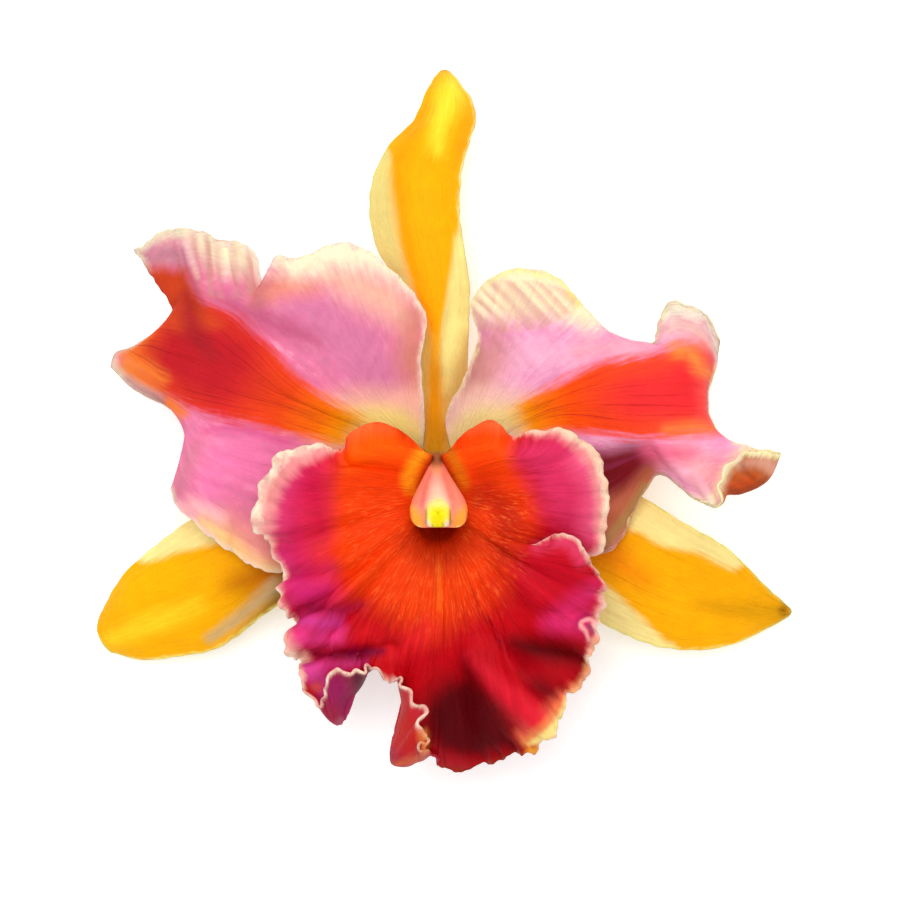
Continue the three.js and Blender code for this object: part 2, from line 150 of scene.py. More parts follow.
def inside_stroke(points: Grid, line: Grid) -> Grid:
    """Signed distance in mm from the edge of a brush stroke, positive inside.

    Args:
        points: Shaped (n, 2).
        line: Points of the stroke's middle with its radius there, shaped (m, 3).
    """
    best = np.full(len(points), -np.inf)
    if len(line) == 1:
        return line[0, 2] - np.linalg.norm(points - line[0, :2], axis=1)
    for a, b in zip(line[:-1], line[1:]):
        side = b[:2] - a[:2]
        t = np.clip(((points - a[:2]) @ side) / max(side @ side, 1e-9), 0, 1)
        away = np.linalg.norm(points - a[:2] - t[:, None] * side, axis=1)
        best = np.maximum(best, a[2] + t * (b[2] - a[2]) - away)
    return best


def smooth(line: Grid, closed: bool, per_step: int = 5) -> Grid:
    """A rounded line through given points."""
    if len(line) < 3:
        return line
    if not closed:
        return spline(line, np.linspace(0, len(line) - 1, per_step * (len(line) - 1) + 1))
    around = np.concatenate([line[-2:], line, line[:3]])
    return spline(around, np.linspace(2, len(line) + 2, per_step * len(line) + 1)[:-1])


def ease(values: Grid, low: float, high: float) -> Grid:
    """A smooth step from 0 at low to 1 at high."""
    t = np.clip((values - low) / (high - low), 0, 1)
    return t * t * (3 - 2 * t)


def bell(values: Grid, width: float) -> Grid:
    """A bump of height 1 round 0."""
    return np.exp(-((values / width) ** 2))


def power(values: Grid, exponent: Grid | float) -> Grid:
    """A power that keeps the sign."""
    return np.sign(values) * np.abs(values) ** exponent


def heading_of(degrees: float) -> Grid:
    """The unit vector in the plan at an angle from +X."""
    turn = math.radians(degrees)
    return np.array([math.cos(turn), math.sin(turn)])


def linear(hexa: str) -> tuple[float, float, float, float]:
    """A scene-linear colour from its hex code."""
    parts = [int(hexa[k : k + 2], 16) / 255 for k in (1, 3, 5)]
    r, g, b = (c / 12.92 if c <= 0.04045 else ((c + 0.055) / 1.055) ** 2.4 for c in parts)
    return (r, g, b, 1.0)


# ------------------------------------------------------------------ node trees
def _operator(operation: str, swapped: bool = False) -> Callable[[Value, Value | float], Value]:
    """A method that puts a Math node on a value and another term.

    Args:
        operation: The node's operation.
        swapped: True where the other term comes first, for a reflected operator.
    """

    def method(value: Value, other: Value | float) -> Value:
        """The operation's result."""
        return value.math(operation, *((other, value) if swapped else (value, other)))

    return method


class Value:
    """A node's output, on which Python's arithmetic adds Math nodes."""

    def __init__(self, graph: Graph, socket: bpy.types.NodeSocket) -> None:
        """Keeps the output and the graph that it belongs to."""
        self.graph = graph
        self.socket = socket

    def math(self, operation: str, *terms: Value | float) -> Value:
        """One Math node on the terms."""
        return self.graph.node("ShaderNodeMath", {"operation": operation}, dict(enumerate(terms)))

    __add__, __radd__ = _operator("ADD"), _operator("ADD", swapped=True)
    __sub__, __rsub__ = _operator("SUBTRACT"), _operator("SUBTRACT", swapped=True)
    __mul__, __rmul__ = _operator("MULTIPLY"), _operator("MULTIPLY", swapped=True)

    def cosine(self) -> Value:
        """The cosine of an angle in radians."""
        return self.math("COSINE", self)

    def between(self, low: float, high: float, start: float = 0.0, end: float = 1.0) -> Value:
        """A smooth step from start at low to end at high."""
        settings = {"interpolation_type": "SMOOTHSTEP"}
        sockets = {"Value": self, "From Min": low, "From Max": high, "To Min": start, "To Max": end}
        return self.graph.node("ShaderNodeMapRange", settings, sockets)


class Graph:
    """A node tree that is built one call at a time."""

    def __init__(self, tree: bpy.types.NodeTree) -> None:
        """Starts on an empty tree."""
        self.tree = tree
        tree.nodes.clear()

    @staticmethod
    def _find(sockets: Sequence[bpy.types.NodeSocket], key: int | str) -> bpy.types.NodeSocket:
        """The socket with that place, identifier or name."""
        if isinstance(key, int):
            return sockets[key]
        named = [s for s in sockets if s.identifier == key] or [s for s in sockets if s.name == key]
        return named[0]

    def node(
        self,
        kind: str,
        settings: Mapping[str, object] | None = None,
        inputs: Mapping[int | str, object] | None = None,
        output: int | str = 0,
    ) -> Value:
        """Adds one node.

        Args:
            kind: The node's type.
            settings: Its properties, set first. "stops" are a ramp's positions and colours.
            inputs: A value or another node's output for each of its sockets.
            output: Which output to give back.

        Returns:
            That output.
        """
        made = self.tree.nodes.new(kind)
        for key, value in (settings or {}).items():
            if key == "stops":
                elements = made.color_ramp.elements
                while len(elements) < len(value):
                    elements.new(0.5)
                for element, (place, colour) in zip(elements, value):
                    element.position, element.color = place, colour
            else:
                setattr(made, key, value)
        for key, value in (inputs or {}).items():
            target = self._find(made.inputs, key)
            if isinstance(value, Value):
                self.tree.links.new(value.socket, target)
            else:
                target.default_value = value
        outputs = [s for s in made.outputs if s.enabled or isinstance(output, str)]
        return Value(self, self._find(outputs, output) if outputs else None)

    def attribute(self, name: str, vector: bool = False) -> Value:
        """A mesh attribute, as a number or as a vector."""
        return self.node("ShaderNodeAttribute", {"attribute_name": name}, output="Vector" if vector else "Fac")

    def scaled(self, vector: Value, by: Point) -> Value:
        """A vector times another, part by part."""
        return self.node("ShaderNodeVectorMath", {"operation": "MULTIPLY"}, {0: vector, 1: tuple(by)})

    def noise(self, vector: Value, scale: float, detail: float = 2.0, rough: float = 0.5) -> Value:
        """Noise from 0 to 1 with a mean of about one half."""
        sockets = {"Vector": vector, "Scale": scale, "Detail": detail, "Roughness": rough}
        return self.node("ShaderNodeTexNoise", None, sockets)

    def over(self, under: Value | Point, colour: Value | Point, mask: Value | float) -> Value:
        """One colour over another, as far as the mask says."""
        settings = {"data_type": "RGBA", "blend_type": "MIX", "clamp_factor": True}
        sockets = {"Factor_Float": mask, "A_Color": under, "B_Color": colour}
        return self.node("ShaderNodeMix", settings, sockets, "Result_Color")

    def surface(self, sockets: Mapping[str, object]) -> None:
        """Ends a material's tree in a Principled shader."""
        skin = self.node("ShaderNodeBsdfPrincipled", None, sockets)
        self.node("ShaderNodeOutputMaterial", None, {"Surface": skin})


# ------------------------------------------------------------------ finishes
@dataclass(frozen=True)
class Patch:
    """A patch of colour on an organ, as a filled outline or a brush stroke. Most are the organ's own colour; some are
    painted shade or a painted highlight.

    Attributes:
        colour: Its hex code.
        points: Points of the outline (x, y), or of the stroke's middle with its radius (x, y, r).
        soft: How far its edge fades, in mm.
        strength: How much it covers, from 0 to 1.
        streaky: How far its edge runs in streaks along the veins, in mm.
        stripes: The period in mm and the heading across in degrees, where it is broken into stripes.
    """

    STRIPE_SEED, STRIPE_SHARE = 3, 0.3

    colour: str
    points: tuple[Point, ...]
    soft: float = 1.2
    strength: float = 1.0
    streaky: float = 0.8
    stripes: tuple[float, float] | None = None

    def distance(self, places: Grid) -> Grid:
        """Signed distance in mm from the patch's edge at places shaped (n, 2)."""
        points = np.array(self.points, float)
        if points.shape[1] == 2:
            inside = inside_area(places, smooth(points, closed=True))
        else:
            inside = inside_stroke(places, smooth(points, closed=False))
        if self.stripes is None:
            return inside
        period, heading = self.stripes
        waves = ripple(places @ heading_of(heading), period, self.STRIPE_SEED)
        return np.minimum(inside, waves * self.STRIPE_SHARE * period)


@dataclass(frozen=True)
class Noise:
    """Noise over an organ's own coordinates.

    Attributes:
        stretch: What the coordinates along and across the veins are multiplied by.
        scale: Its scale, in 1/mm.
        detail: How many octaves it has.
        rough: How strong the finer octaves are.
    """

    stretch: tuple[float, float]
    scale: float
    detail: float
    rough: float

    def on(self, g: Graph, lay: Value) -> Value:
        """The noise on the coordinates, from 0 to 1."""
        return g.noise(g.scaled(lay, (*self.stretch, 1.0)), self.scale, self.detail, self.rough)


STREAKS = Noise((0.11, 1.0), 1.1, 3.0, 0.55)
VEINS = Noise((0.035, 1.0), 1.0, 2.0, 0.65)
HAIRS = Noise((0.34, 2.6), 1.2, 2.0, 0.55)
CLOUDS = Noise((0.45, 1.0), 0.95, 3.0, 0.65)
DRIFTS = Noise((0.4, 1.0), 0.5, 3.0, 0.55)
# The scales of fine grain and of broad clouds, in 1/m, and how much more broad clouds mottle.
FINE_SCALE, BROAD_SCALE, BROAD_SHARE = 900.0, 260.0, 1.6

# Where a noise turns into a mark, as its lowest and highest value, and how much some marks cover.
VEIN_EDGES, HAIR_EDGES, TINT_EDGES = (0.52, 0.66), (0.5, 0.68), (0.42, 0.58)
DARK_EDGES, DARK_SHARE = (0.5, 0.66), 0.6
PALE_EDGES, PALE_SHARE = (0.5, 0.68), 0.5
TUFTS = (0.3, 0.6, 0.35, 1.0)

# How far streaks, fine grain and clouds move an edge, and how deep in clouds stop doing so, in mm.
STREAK_SWAY, FINE_SWAY, CLOUD_SWAY, HEM_STREAKS, CALM_DEPTH = 2.0, 0.35, 2.2, 0.6, 4.0
BLUSH_SWAY, BLUSH_SOFT, SIDE_SOFT = 1.2, 1.6, 0.2

# The flame's edges and depths in mm. The start and end of its core are shares of the petal's length.
FLAME_SWAY, FLAME_RUN_SWAY, FLAME_EDGES, FLAME_FADE = 2.0, 0.02, (-1.5, 1.8), 0.07
CORE_DEPTHS, CORE_START, CORE_END, CORE_SHARE = (0.5, 7.0), (0.28, 0.55), (0.82, 1.0), 0.8
FLAME_VEIN_DEPTH, FLAME_VEIN_SHARE = 4.0, 0.45

# The relief of hairs as a share of the veins' relief, and that of cells and clouds in mm.
HAIR_RELIEF, CELL_RELIEF, CLOUD_RELIEF, HEM_RELIEF = 0.8, 0.03, 0.25, 0.6
ROUGHNESS_SWAY, SKIN_SPECULAR = 0.2, 0.06
SCATTER_RADIUS, SCATTER_DEPTH = (1.0, 0.45, 0.25), 0.0012


@dataclass(frozen=True)
class Tissue:
    """The skin of one organ of the flower.

    Attributes:
        ground: The upper face's colour under every patch.
        back: The underside's colour.
        hem: The margin's colour.
        blush: The colour between the margin and the rest.
        vein: The veins' colour.
        hair: The colour of the short streaks near the throat.
        patches: Coloured patches of the upper face, the lowest first.
        behind: Those of the underside.
        rim: Those over the margin's colour, on both faces.
        vein_strength: How clearly the veins show, from 0 to 1.
        vein_period: The distance between veins, in mm.
        roughness: The shader's roughness between the veins.
        grain: The size of the skin's cells, in mm.
        relief: How far veins stand out, in mm.
        glow: How much light passes into the tissue.
        hem_soft: How far the margin's colour fades, in mm.
        hem_ragged: How far clouds move the margin's colour in and out, in mm.
        hem_tint: A second colour of the margin, in clouds.
        mottle: How much the colour varies from place to place.
        streaks: How much it varies in streaks along the veins.
        marble: A paler and a darker colour in clouds over the upper face, if it is marbled.
        flame: Stops of the flame's colour from the foot to the tip, if there is a flame.
        flame_core: The colour of the flame's middle.
        flame_veins: The colour of the veins in it.
        flame_foot: Where it starts, as a share of the petal's length.
    """

    ground: str
    back: str
    hem: str
    vein: str
    blush: str = ""
    hair: str = ""
    patches: tuple[Patch, ...] = ()
    behind: tuple[Patch, ...] = ()
    rim: tuple[Patch, ...] = ()
    vein_strength: float = 0.25
    vein_period: float = 1.3
    roughness: float = 0.55
    grain: float = 0.35
    relief: float = 0.1
    glow: float = 0.08
    hem_soft: float = 0.7
    hem_ragged: float = 1.2
    hem_tint: str = ""
    mottle: float = 0.12
    streaks: float = 0.2
    marble: tuple[str, ...] = ()
    flame: tuple[tuple[float, str], ...] = ()
    flame_core: str = ""
    flame_veins: str = ""
    flame_foot: float = 0.11

    @property
    def every_patch(self) -> tuple[Patch, ...]:
        """All its patches, in the order of their masks' numbers."""
        return self.patches + self.behind + self.rim

    def material(self, name: str) -> bpy.types.Material:
        """Builds the skin's material.

        Args:
            name: The material's name.

        Returns:
            The material, which reads the organ's attributes and Object coordinates.
        """
        made = bpy.data.materials.new(name)
        made.use_nodes = True
        g = Graph(made.node_tree)
        place = g.node("ShaderNodeTexCoord", output="Object")
        lay = g.attribute("lay", vector=True)
        streak = STREAKS.on(g, lay) - 0.5
        wobble = streak * STREAK_SWAY + (g.noise(place, FINE_SCALE, 2.0) - 0.5) * FINE_SWAY
        vein_line = replace(VEINS, scale=1.0 / self.vein_period).on(g, lay).between(*VEIN_EDGES)
        hairs, cloud = HAIRS.on(g, lay), CLOUDS.on(g, lay)
        broad = g.noise(place, BROAD_SCALE, 2.0)

        colour = self._patched(g, self._marbled(g, lay), self.patches, 0, wobble)
        colour = g.over(colour, linear(self.vein), vein_line * g.attribute("veined") * self.vein_strength)
        if self.flame:
            colour = self._flame(g, colour, wobble, vein_line)
        if self.hair:
            tufts = hairs.between(*HAIR_EDGES) * broad.between(*TUFTS)
            colour = g.over(colour, linear(self.hair), tufts * g.attribute("hairy"))
        behind = self._patched(g, linear(self.back), self.behind, len(self.patches), wobble)
        colour = g.over(behind, colour, g.attribute("side").between(-SIDE_SOFT, SIDE_SOFT))
        if self.blush:
            tint = (g.attribute("blush") + wobble * BLUSH_SWAY).between(-BLUSH_SOFT, BLUSH_SOFT)
            colour = g.over(colour, linear(self.blush), tint)
        rim = g.attribute("hem")
        ragged = (cloud - 0.5) * (CLOUD_SWAY * self.hem_ragged) * (rim + CALM_DEPTH).between(0.0, CALM_DEPTH)
        edging = linear(self.hem)
        if self.hem_tint:
            edging = g.over(edging, linear(self.hem_tint), (cloud * 0.5 + broad * 0.5).between(*TINT_EDGES))
        edged = (rim + ragged + streak * HEM_STREAKS).between(-self.hem_soft, self.hem_soft)
        colour = g.over(colour, edging, edged)
        colour = self._patched(g, colour, self.rim, len(self.patches + self.behind), wobble)
        shade = 1.0 + (cloud - 0.5) * self.mottle + (broad - 0.5) * (self.mottle * BROAD_SHARE)
        shade = shade + (hairs - 0.5) * self.mottle + streak * self.streaks
        colour = g.node("ShaderNodeVectorMath", {"operation": "SCALE"}, {0: colour, "Scale": shade})

        cells = g.node("ShaderNodeTexVoronoi", {"feature": "SMOOTH_F1"}, {0: place, "Scale": 1.0 / (self.grain * MM)})
        height = (1.0 - vein_line) * self.relief + (hairs - 0.5) * (self.relief * HAIR_RELIEF) - cells * CELL_RELIEF
        height = height + (cloud - 0.5) * (CLOUD_RELIEF + edged * HEM_RELIEF)
        normal = g.node("ShaderNodeBump", None, {"Strength": 1.0, "Distance": MM, "Height": height})
        g.surface(
            {
                "Base Color": colour,
                "Roughness": self.roughness + (cloud - 0.5) * ROUGHNESS_SWAY,
                "Normal": normal,
                "Subsurface Weight": self.glow,
                "Subsurface Radius": SCATTER_RADIUS,
                "Subsurface Scale": SCATTER_DEPTH,
                "Specular IOR Level": SKIN_SPECULAR,
            }
        )
        return made

    def _marbled(self, g: Graph, lay: Value) -> Value | Point:
        """The ground's colour with the darker and the paler clouds, if it is marbled."""
        ground = linear(self.ground)
        if not self.marble:
            return ground
        pale, dark = (linear(tone) for tone in self.marble)
        drift = DRIFTS.on(g, lay)
        ground = g.over(ground, dark, drift.between(*DARK_EDGES) * DARK_SHARE)
        return g.over(ground, pale, (1.0 - drift).between(*PALE_EDGES) * PALE_SHARE)

    def _patched(
        self, g: Graph, under: Value | Point, patches: Sequence[Patch], first: int, wobble: Value
    ) -> Value | Point:
        """Lays patches, whose masks are numbered from first, over what is under them."""
        colour = under
        for index, patch in enumerate(patches, first):
            edge = g.attribute(f"patch_{index}") + wobble * patch.streaky
            cover = edge.between(-patch.soft, patch.soft, 0.0, patch.strength)
            colour = g.over(colour, linear(patch.colour), cover)
        return colour

    def _flame(self, g: Graph, under: Value, wobble: Value, vein_line: Value) -> Value:
        """Lays the flame of colour down the middle of a petal over what is under it."""
        run = g.attribute("blaze_run") + wobble * FLAME_RUN_SWAY
        inside = g.attribute("blaze")
        swayed = inside + wobble * FLAME_SWAY
        ramp = g.node("ShaderNodeValToRGB", {"stops": [(at, linear(tone)) for at, tone in self.flame]}, {0: run})
        core = swayed.between(*CORE_DEPTHS) * run.between(*CORE_START) * (1.0 - run.between(*CORE_END))
        ramp = g.over(ramp, linear(self.flame_core), core * CORE_SHARE)
        veined = vein_line * inside.between(0.0, FLAME_VEIN_DEPTH) * FLAME_VEIN_SHARE
        ramp = g.over(ramp, linear(self.flame_veins), veined)
        started = run.between(self.flame_foot, self.flame_foot + FLAME_FADE)
        return g.over(under, ramp, swayed.between(*FLAME_EDGES) * started)


# ------------------------------------------------------------------ organs
class Edge(Enum):
    """The free edges of an organ's grid of points."""

    FIRST = "first column"
    LAST = "last column"
    TIP = "last row"


@dataclass(frozen=True)
class Frill:
    """Waves that run in from an organ's margin.

    Attributes:
        height: How far they rise at the margin, in mm.
        period: The length of a wave, in mm.
        reach: How far in from the margin they fade, in mm.
        seed: Fixes the waves.
        within: True for waves in the plane of the blade, which notch its outline.
    """

    height: float
    period: float
    reach: float
    seed: int
    within: bool = False


@dataclass(frozen=True)
class Fold:
    """A ridge or a groove along a line, across a blade.

    Attributes:
        height: How far it rises, in mm. A groove's is less than 0.
        width: How far it fades to each side, in mm.
        points: Its line in the plan, (x, y).
    """

    height: float
    width: float
    points: tuple[Point, ...]

    def rise(self, places: Grid) -> Grid:
        """How far it lifts places shaped (n, 2), in mm."""
        line = smooth(np.array(self.points, float), closed=False)
        line = np.column_stack([line, np.zeros(len(line))])
        return self.height * bell(inside_stroke(places, line), self.width)


@dataclass(frozen=True)
class Pleats:
    """Small even folds over part of a blade.

    Attributes:
        height: How far they rise, in mm.
        period: The distance between them, in mm.
        heading: The direction across them in the plan, in degrees from +X.
        area: The outline that holds them, (x, y).
        soft: How far in from the outline they fade, in mm.
        seed: Fixes how uneven they are.
    """

    BEND, BEND_LENGTH = 0.4, 2.2

    height: float
    period: float
    heading: float
    area: tuple[Point, ...]
    soft: float
    seed: int

    def rise(self, places: Grid) -> Grid:
        """How far they lift places shaped (n, 2), in mm."""
        inside = inside_area(places, smooth(np.array(self.area, float), closed=True))
        across = places @ heading_of(self.heading)
        along = places @ heading_of(self.heading + 90.0)
        bend = np.sin(along / (self.BEND_LENGTH * self.period) + self.seed)
        across = across + self.BEND * self.period * bend
        return self.height * ease(inside, 0.0, self.soft) * ripple(across, self.period, self.seed)


@dataclass
class Organ:
    """A thin closed blade whose middle surface goes through rows of control points.

    Attributes:
        name: The piece's name.
        node: The CAD node that it stands for.
        rows: Control points in plan mm, shaped (n, m, 3).
        skin: Its finish.
        slot: Its material slot, which is not used.
        steps: How many points its grid has along and across.
        frills: The waves of its margin.
        liveliness: How strong the waves are at each control row, for the first and last column.
        hem: How wide the margin's colour is at each control row, for the first and last column.
        thick: Its thickness in the middle and at the margin, in mm.
        edges: Its free edges.
        crowd: How densely each direction is stepped.
        folds: Its own ridges, grooves and pleats.
    """

    # How softly the waves of two edges meet, in mm, and how sharply waves fade away from an edge.
    SETTLE, FADE_POWER = 0.6, 1.6
    # How far in from the margin the blade is thinner, and between which distances veins start, in mm.
    THIN_DEPTH, VEINLESS = 5.0, (0.3, 4.0)
    # The margin's colour as a band.
    HEM_BAND = (1.0, 1.5, (0.0, 0.25))

    name: str
    node: str
    rows: Grid | Sequence[Sequence[Point]]
    skin: Tissue
    slot: str
    steps: tuple[int, int]
    frills: Sequence[Frill]
    liveliness: tuple[Sequence[float], Sequence[float]]
    hem: tuple[Sequence[float], Sequence[float]]
    thick: tuple[float, float] = (1.0, 0.4)
    edges: tuple[Edge, ...] = (Edge.FIRST, Edge.LAST, Edge.TIP)
    crowd: tuple[Callable[[Grid], Grid] | None, Callable[[Grid], Grid] | None] = (None, None)
    folds: Sequence[Fold | Pleats] = ()

    def __post_init__(self) -> None:
        """Lays out the grid and measures it."""
        self.rows = np.array(self.rows, float)
        self.along = even_steps(self.rows, self.steps[0], self.crowd[0])
        turned = self.rows.transpose(1, 0, 2)
        self.across = even_steps(turned, self.steps[1], self.crowd[1])
        columns = spline(self.rows, self.along)
        self.base = spline(columns.transpose(1, 0, 2), self.across).transpose(1, 0, 2)
        self.run = self._lengths(self.base, 0)
        self.walk = self._lengths(self.base, 1)
        self._measure_margin()

    @staticmethod
    def _lengths(points: Grid, axis: int) -> Grid:
        """Distance from the start along one direction of the grid, in mm."""
        steps = np.linalg.norm(np.diff(points, axis=axis), axis=2)
        zero = np.zeros_like(np.take(steps, [0], axis=axis))
        return np.cumsum(np.concatenate([zero, steps], axis=axis), axis=axis)

    def _measure_margin(self) -> None:
        """Finds each point's distance from each free edge and its place along the margin."""
        up, down = self.run[:, 0], self.run[:, -1]
        tip = self.walk[-1]
        self.away: dict[Edge, Grid] = {
            Edge.FIRST: self.walk,
            Edge.LAST: self.walk[:, -1:] - self.walk,
            Edge.TIP: self.run[-1:] - self.run,
        }
        self.place: dict[Edge, Grid] = {
            Edge.FIRST: np.broadcast_to(up[:, None], self.walk.shape),
            Edge.TIP: np.broadcast_to(up[-1] + tip[None, :], self.walk.shape),
            Edge.LAST: np.broadcast_to(up[-1] + tip[-1] + down[-1] - down[:, None], self.walk.shape),
        }
        self.rim = np.min([self.away[e] for e in self.edges], axis=0)

    def _by_row(self, pair: tuple[Sequence[float], Sequence[float]], edge: Edge) -> Grid:
        """A setting given at each control row, read at each point for one edge."""
        rows = np.arange(len(self.rows))
        first = np.interp(self.along, rows, np.array(pair[0], float))
        last = np.interp(self.along, rows, np.array(pair[1], float))
        if edge is Edge.FIRST:
            return np.broadcast_to(first[:, None], self.walk.shape)
        if edge is Edge.LAST:
            return np.broadcast_to(last[:, None], self.walk.shape)
        share = (self.walk / self.walk[:, -1:])[-1]
        tip = first[-1] + (last[-1] - first[-1]) * share
        return np.broadcast_to(tip[None, :], self.walk.shape)

    def _waves(self, frill: Frill) -> Grid:
        """How far one set of waves moves each point, in mm."""
        total, weights = np.zeros(self.walk.shape), np.zeros(self.walk.shape)
        for edge in self.edges:
            near = 1.0 / (self.away[edge] + self.SETTLE) ** 3
            lively = self._by_row(self.liveliness, edge)
            fade = np.exp(-((self.away[edge] / frill.reach) ** self.FADE_POWER))
            total += near * lively * fade * ripple(self.place[edge], frill.period, frill.seed)
            weights += near
        return frill.height * total / weights

    @staticmethod
    def normals(points: Grid) -> Grid:
        """Unit normals of a grid of points, on the side that mostly faces up."""
        normal = np.cross(np.gradient(points, axis=0), np.gradient(points, axis=1))
        normal /= np.linalg.norm(normal, axis=2, keepdims=True) + 1e-12
        return normal if normal[..., 2].mean() > 0 else -normal

    def _outwards(self) -> Grid:
        """Unit directions in the blade towards its nearest free edge."""
        rim_u, rim_v = np.gradient(self.rim)
        alongs, acrosses = np.gradient(self.base, axis=0), np.gradient(self.base, axis=1)
        size_u = np.linalg.norm(alongs, axis=2) + 1e-9
        size_v = np.linalg.norm(acrosses, axis=2) + 1e-9
        way = -(alongs * (rim_u / size_u**2)[..., None] + acrosses * (rim_v / size_v**2)[..., None])
        return way / (np.linalg.norm(way, axis=2, keepdims=True) + 1e-9)

    def shape(self) -> Grid:
        """The middle surface with its waves, in plan mm."""
        points = self.base.copy()
        facing, outwards = self.normals(self.base), self._outwards()
        for frill in self.frills:
            way = outwards if frill.within else facing
            points += way * self._waves(frill)[..., None]
        flat = self.base[..., :2].reshape(-1, 2)
        for fold in self.folds:
            points += facing * fold.rise(flat).reshape(self.walk.shape)[..., None]
        return points

    def reached(self, column: float) -> Grid:
        """How far across a control column is on each row of the grid, in mm."""
        return np.array([np.interp(column, self.across, row) for row in self.walk])[:, None]

    def band(self, reach: float, gap: float, widths: tuple[float, float]) -> Grid:
        """Signed distance in mm from the inner edge of a band along the margin, positive in it.

        Args:
            reach: How wide it is, as a multiple of the margin's colour.
            gap: How far it stays away where there is no margin's colour, in mm.
            widths: Between which widths of that colour it comes in, in mm.
        """
        bands = []
        for edge in self.edges:
            wide = self._by_row(self.hem, edge)
            bands.append(reach * wide - gap * (1 - ease(wide, *widths)) - self.away[edge])
        return np.max(bands, axis=0)

    def masks(self, points: Grid) -> dict[str, Grid]:
        """Numbers that the finish reads at each point.

        Args:
            points: The shaped middle surface, in plan mm.

        Returns:
            Arrays of the grid's shape by name.
        """
        found = {"hem": self.band(*self.HEM_BAND), "veined": ease(self.rim, *self.VEINLESS)}
        for name, distance in patch_masks(self.skin, points.reshape(-1, 3)):
            found[name] = distance.reshape(self.walk.shape)
        return found

    def lay(self) -> Grid:
        """Coordinates that follow the veins, in mm: along a vein, and across them."""
        width = self.walk[:, -1:].max()
        share = self.across / (self.rows.shape[1] - 1)
        across = np.broadcast_to(share[None, :] * width, self.walk.shape)
        return np.stack([self.run, across, np.zeros_like(across)], axis=2)

    def build(self) -> None:
        """Makes the piece, dresses it and puts it on its body."""
        points = self.shape()
        rows, columns = points.shape[:2]
        count = rows * columns
        facing = self.normals(points)
        middle, margin = self.thick
        half = 0.5 * (margin + (middle - margin) * ease(self.rim, 0.0, self.THIN_DEPTH))[..., None]
        shells = np.concatenate([(points + facing * half).reshape(-1, 3), (points - facing * half).reshape(-1, 3)])

        place = np.arange(count).reshape(rows, columns)
        a, b, c, d = place[:-1, :-1], place[1:, :-1], place[1:, 1:], place[:-1, 1:]
        front = np.stack([a, b, c, d], axis=2).reshape(-1, 4)
        ring = np.concatenate([place[:-1, 0], place[-1, :-1], place[:0:-1, -1], place[0, :0:-1]])
        onward = np.roll(ring, -1)
        wall = np.stack([ring, ring + count, onward + count, onward], axis=1)
        faces = np.concatenate([front, front[:, ::-1] + count, wall])
        a, b, c, d = (shells[faces[:, k]] for k in range(4))
        if (a * (np.cross(b, c) + np.cross(c, d))).sum() < 0:
            faces = faces[:, ::-1]

        mesh = mesh_of(self.name, shells, faces)
        for name, values in self.masks(points).items():
            put_numbers(mesh, name, np.tile(values.ravel(), 2))
        put_numbers(mesh, "side", np.repeat([1.0, -1.0], count))
        put_vectors(mesh, "lay", np.tile(self.lay().reshape(-1, 3), (2, 1)))
        mesh.materials.append(self.skin.material(self.name))
        seated(mesh, self.slot, self.node)


def mesh_of(name: str, points: Grid, faces: Grid) -> bpy.types.Mesh:
    """A smooth-shaded mesh of four-sided faces in the row's frame.

    Args:
        name: The mesh's name.
        points: Vertices in plan mm, shaped (n, 3).
        faces: Vertex numbers of each face, shaped (m, 4).
    """
    mesh = bpy.data.meshes.new(name)
    placed = (points + PLAN_TO_ROW) * MM
    mesh.vertices.add(len(placed))
    mesh.vertices.foreach_set("co", placed.astype(np.float32).ravel())
    mesh.loops.add(faces.size)
    mesh.loops.foreach_set("vertex_index", faces.astype(np.int32).ravel())
    mesh.polygons.add(len(faces))
    mesh.polygons.foreach_set("loop_start", np.arange(0, faces.size, faces.shape[1], dtype=np.int32))
    mesh.polygons.foreach_set("use_smooth", np.ones(len(faces), bool))
    mesh.update(calc_edges=True)
    mesh.validate()
    return mesh


def put_numbers(mesh: bpy.types.Mesh, name: str, values: Grid) -> None:
    """Stores one number for each vertex."""
    mesh.attributes.new(name, "FLOAT", "POINT").data.foreach_set("value", values.astype(np.float32))


def put_vectors(mesh: bpy.types.Mesh, name: str, values: Grid) -> None:
    """Stores one vector for each vertex."""
    mesh.attributes.new(name, "FLOAT_VECTOR", "POINT").data.foreach_set("vector", values.astype(np.float32).ravel())


# How far from its edge a patch's mask is measured, in mm.
FAR = 12.0


def patch_masks(skin: Tissue, points: Grid) -> Iterator[tuple[str, Grid]]:
    """The name and the clipped distances of each patch's mask.

    Args:
        skin: The finish with the patches.
        points: Places in plan mm, shaped (n, 3).
    """
    for index, patch in enumerate(skin.every_patch):
        yield f"patch_{index}", np.clip(patch.distance(points[:, :2]), -FAR, FAR)


def linked(name: str, data: bpy.types.ID) -> bpy.types.Object:
    """A new object in the scene."""
    made = bpy.data.objects.new(name, data)
    bpy.context.scene.collection.objects.link(made)
    return made


def seated(mesh: bpy.types.Mesh, slot: str, node: str) -> None:
    """Puts a finished mesh on the flower's body as a piece and hides the CAD part that it stands for."""
    piece = linked(mesh.name, mesh)
    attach(piece, "root")
    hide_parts(node)
    LOG.info("%s: %d vertices, %d faces", piece.name, len(mesh.vertices), len(mesh.polygons))


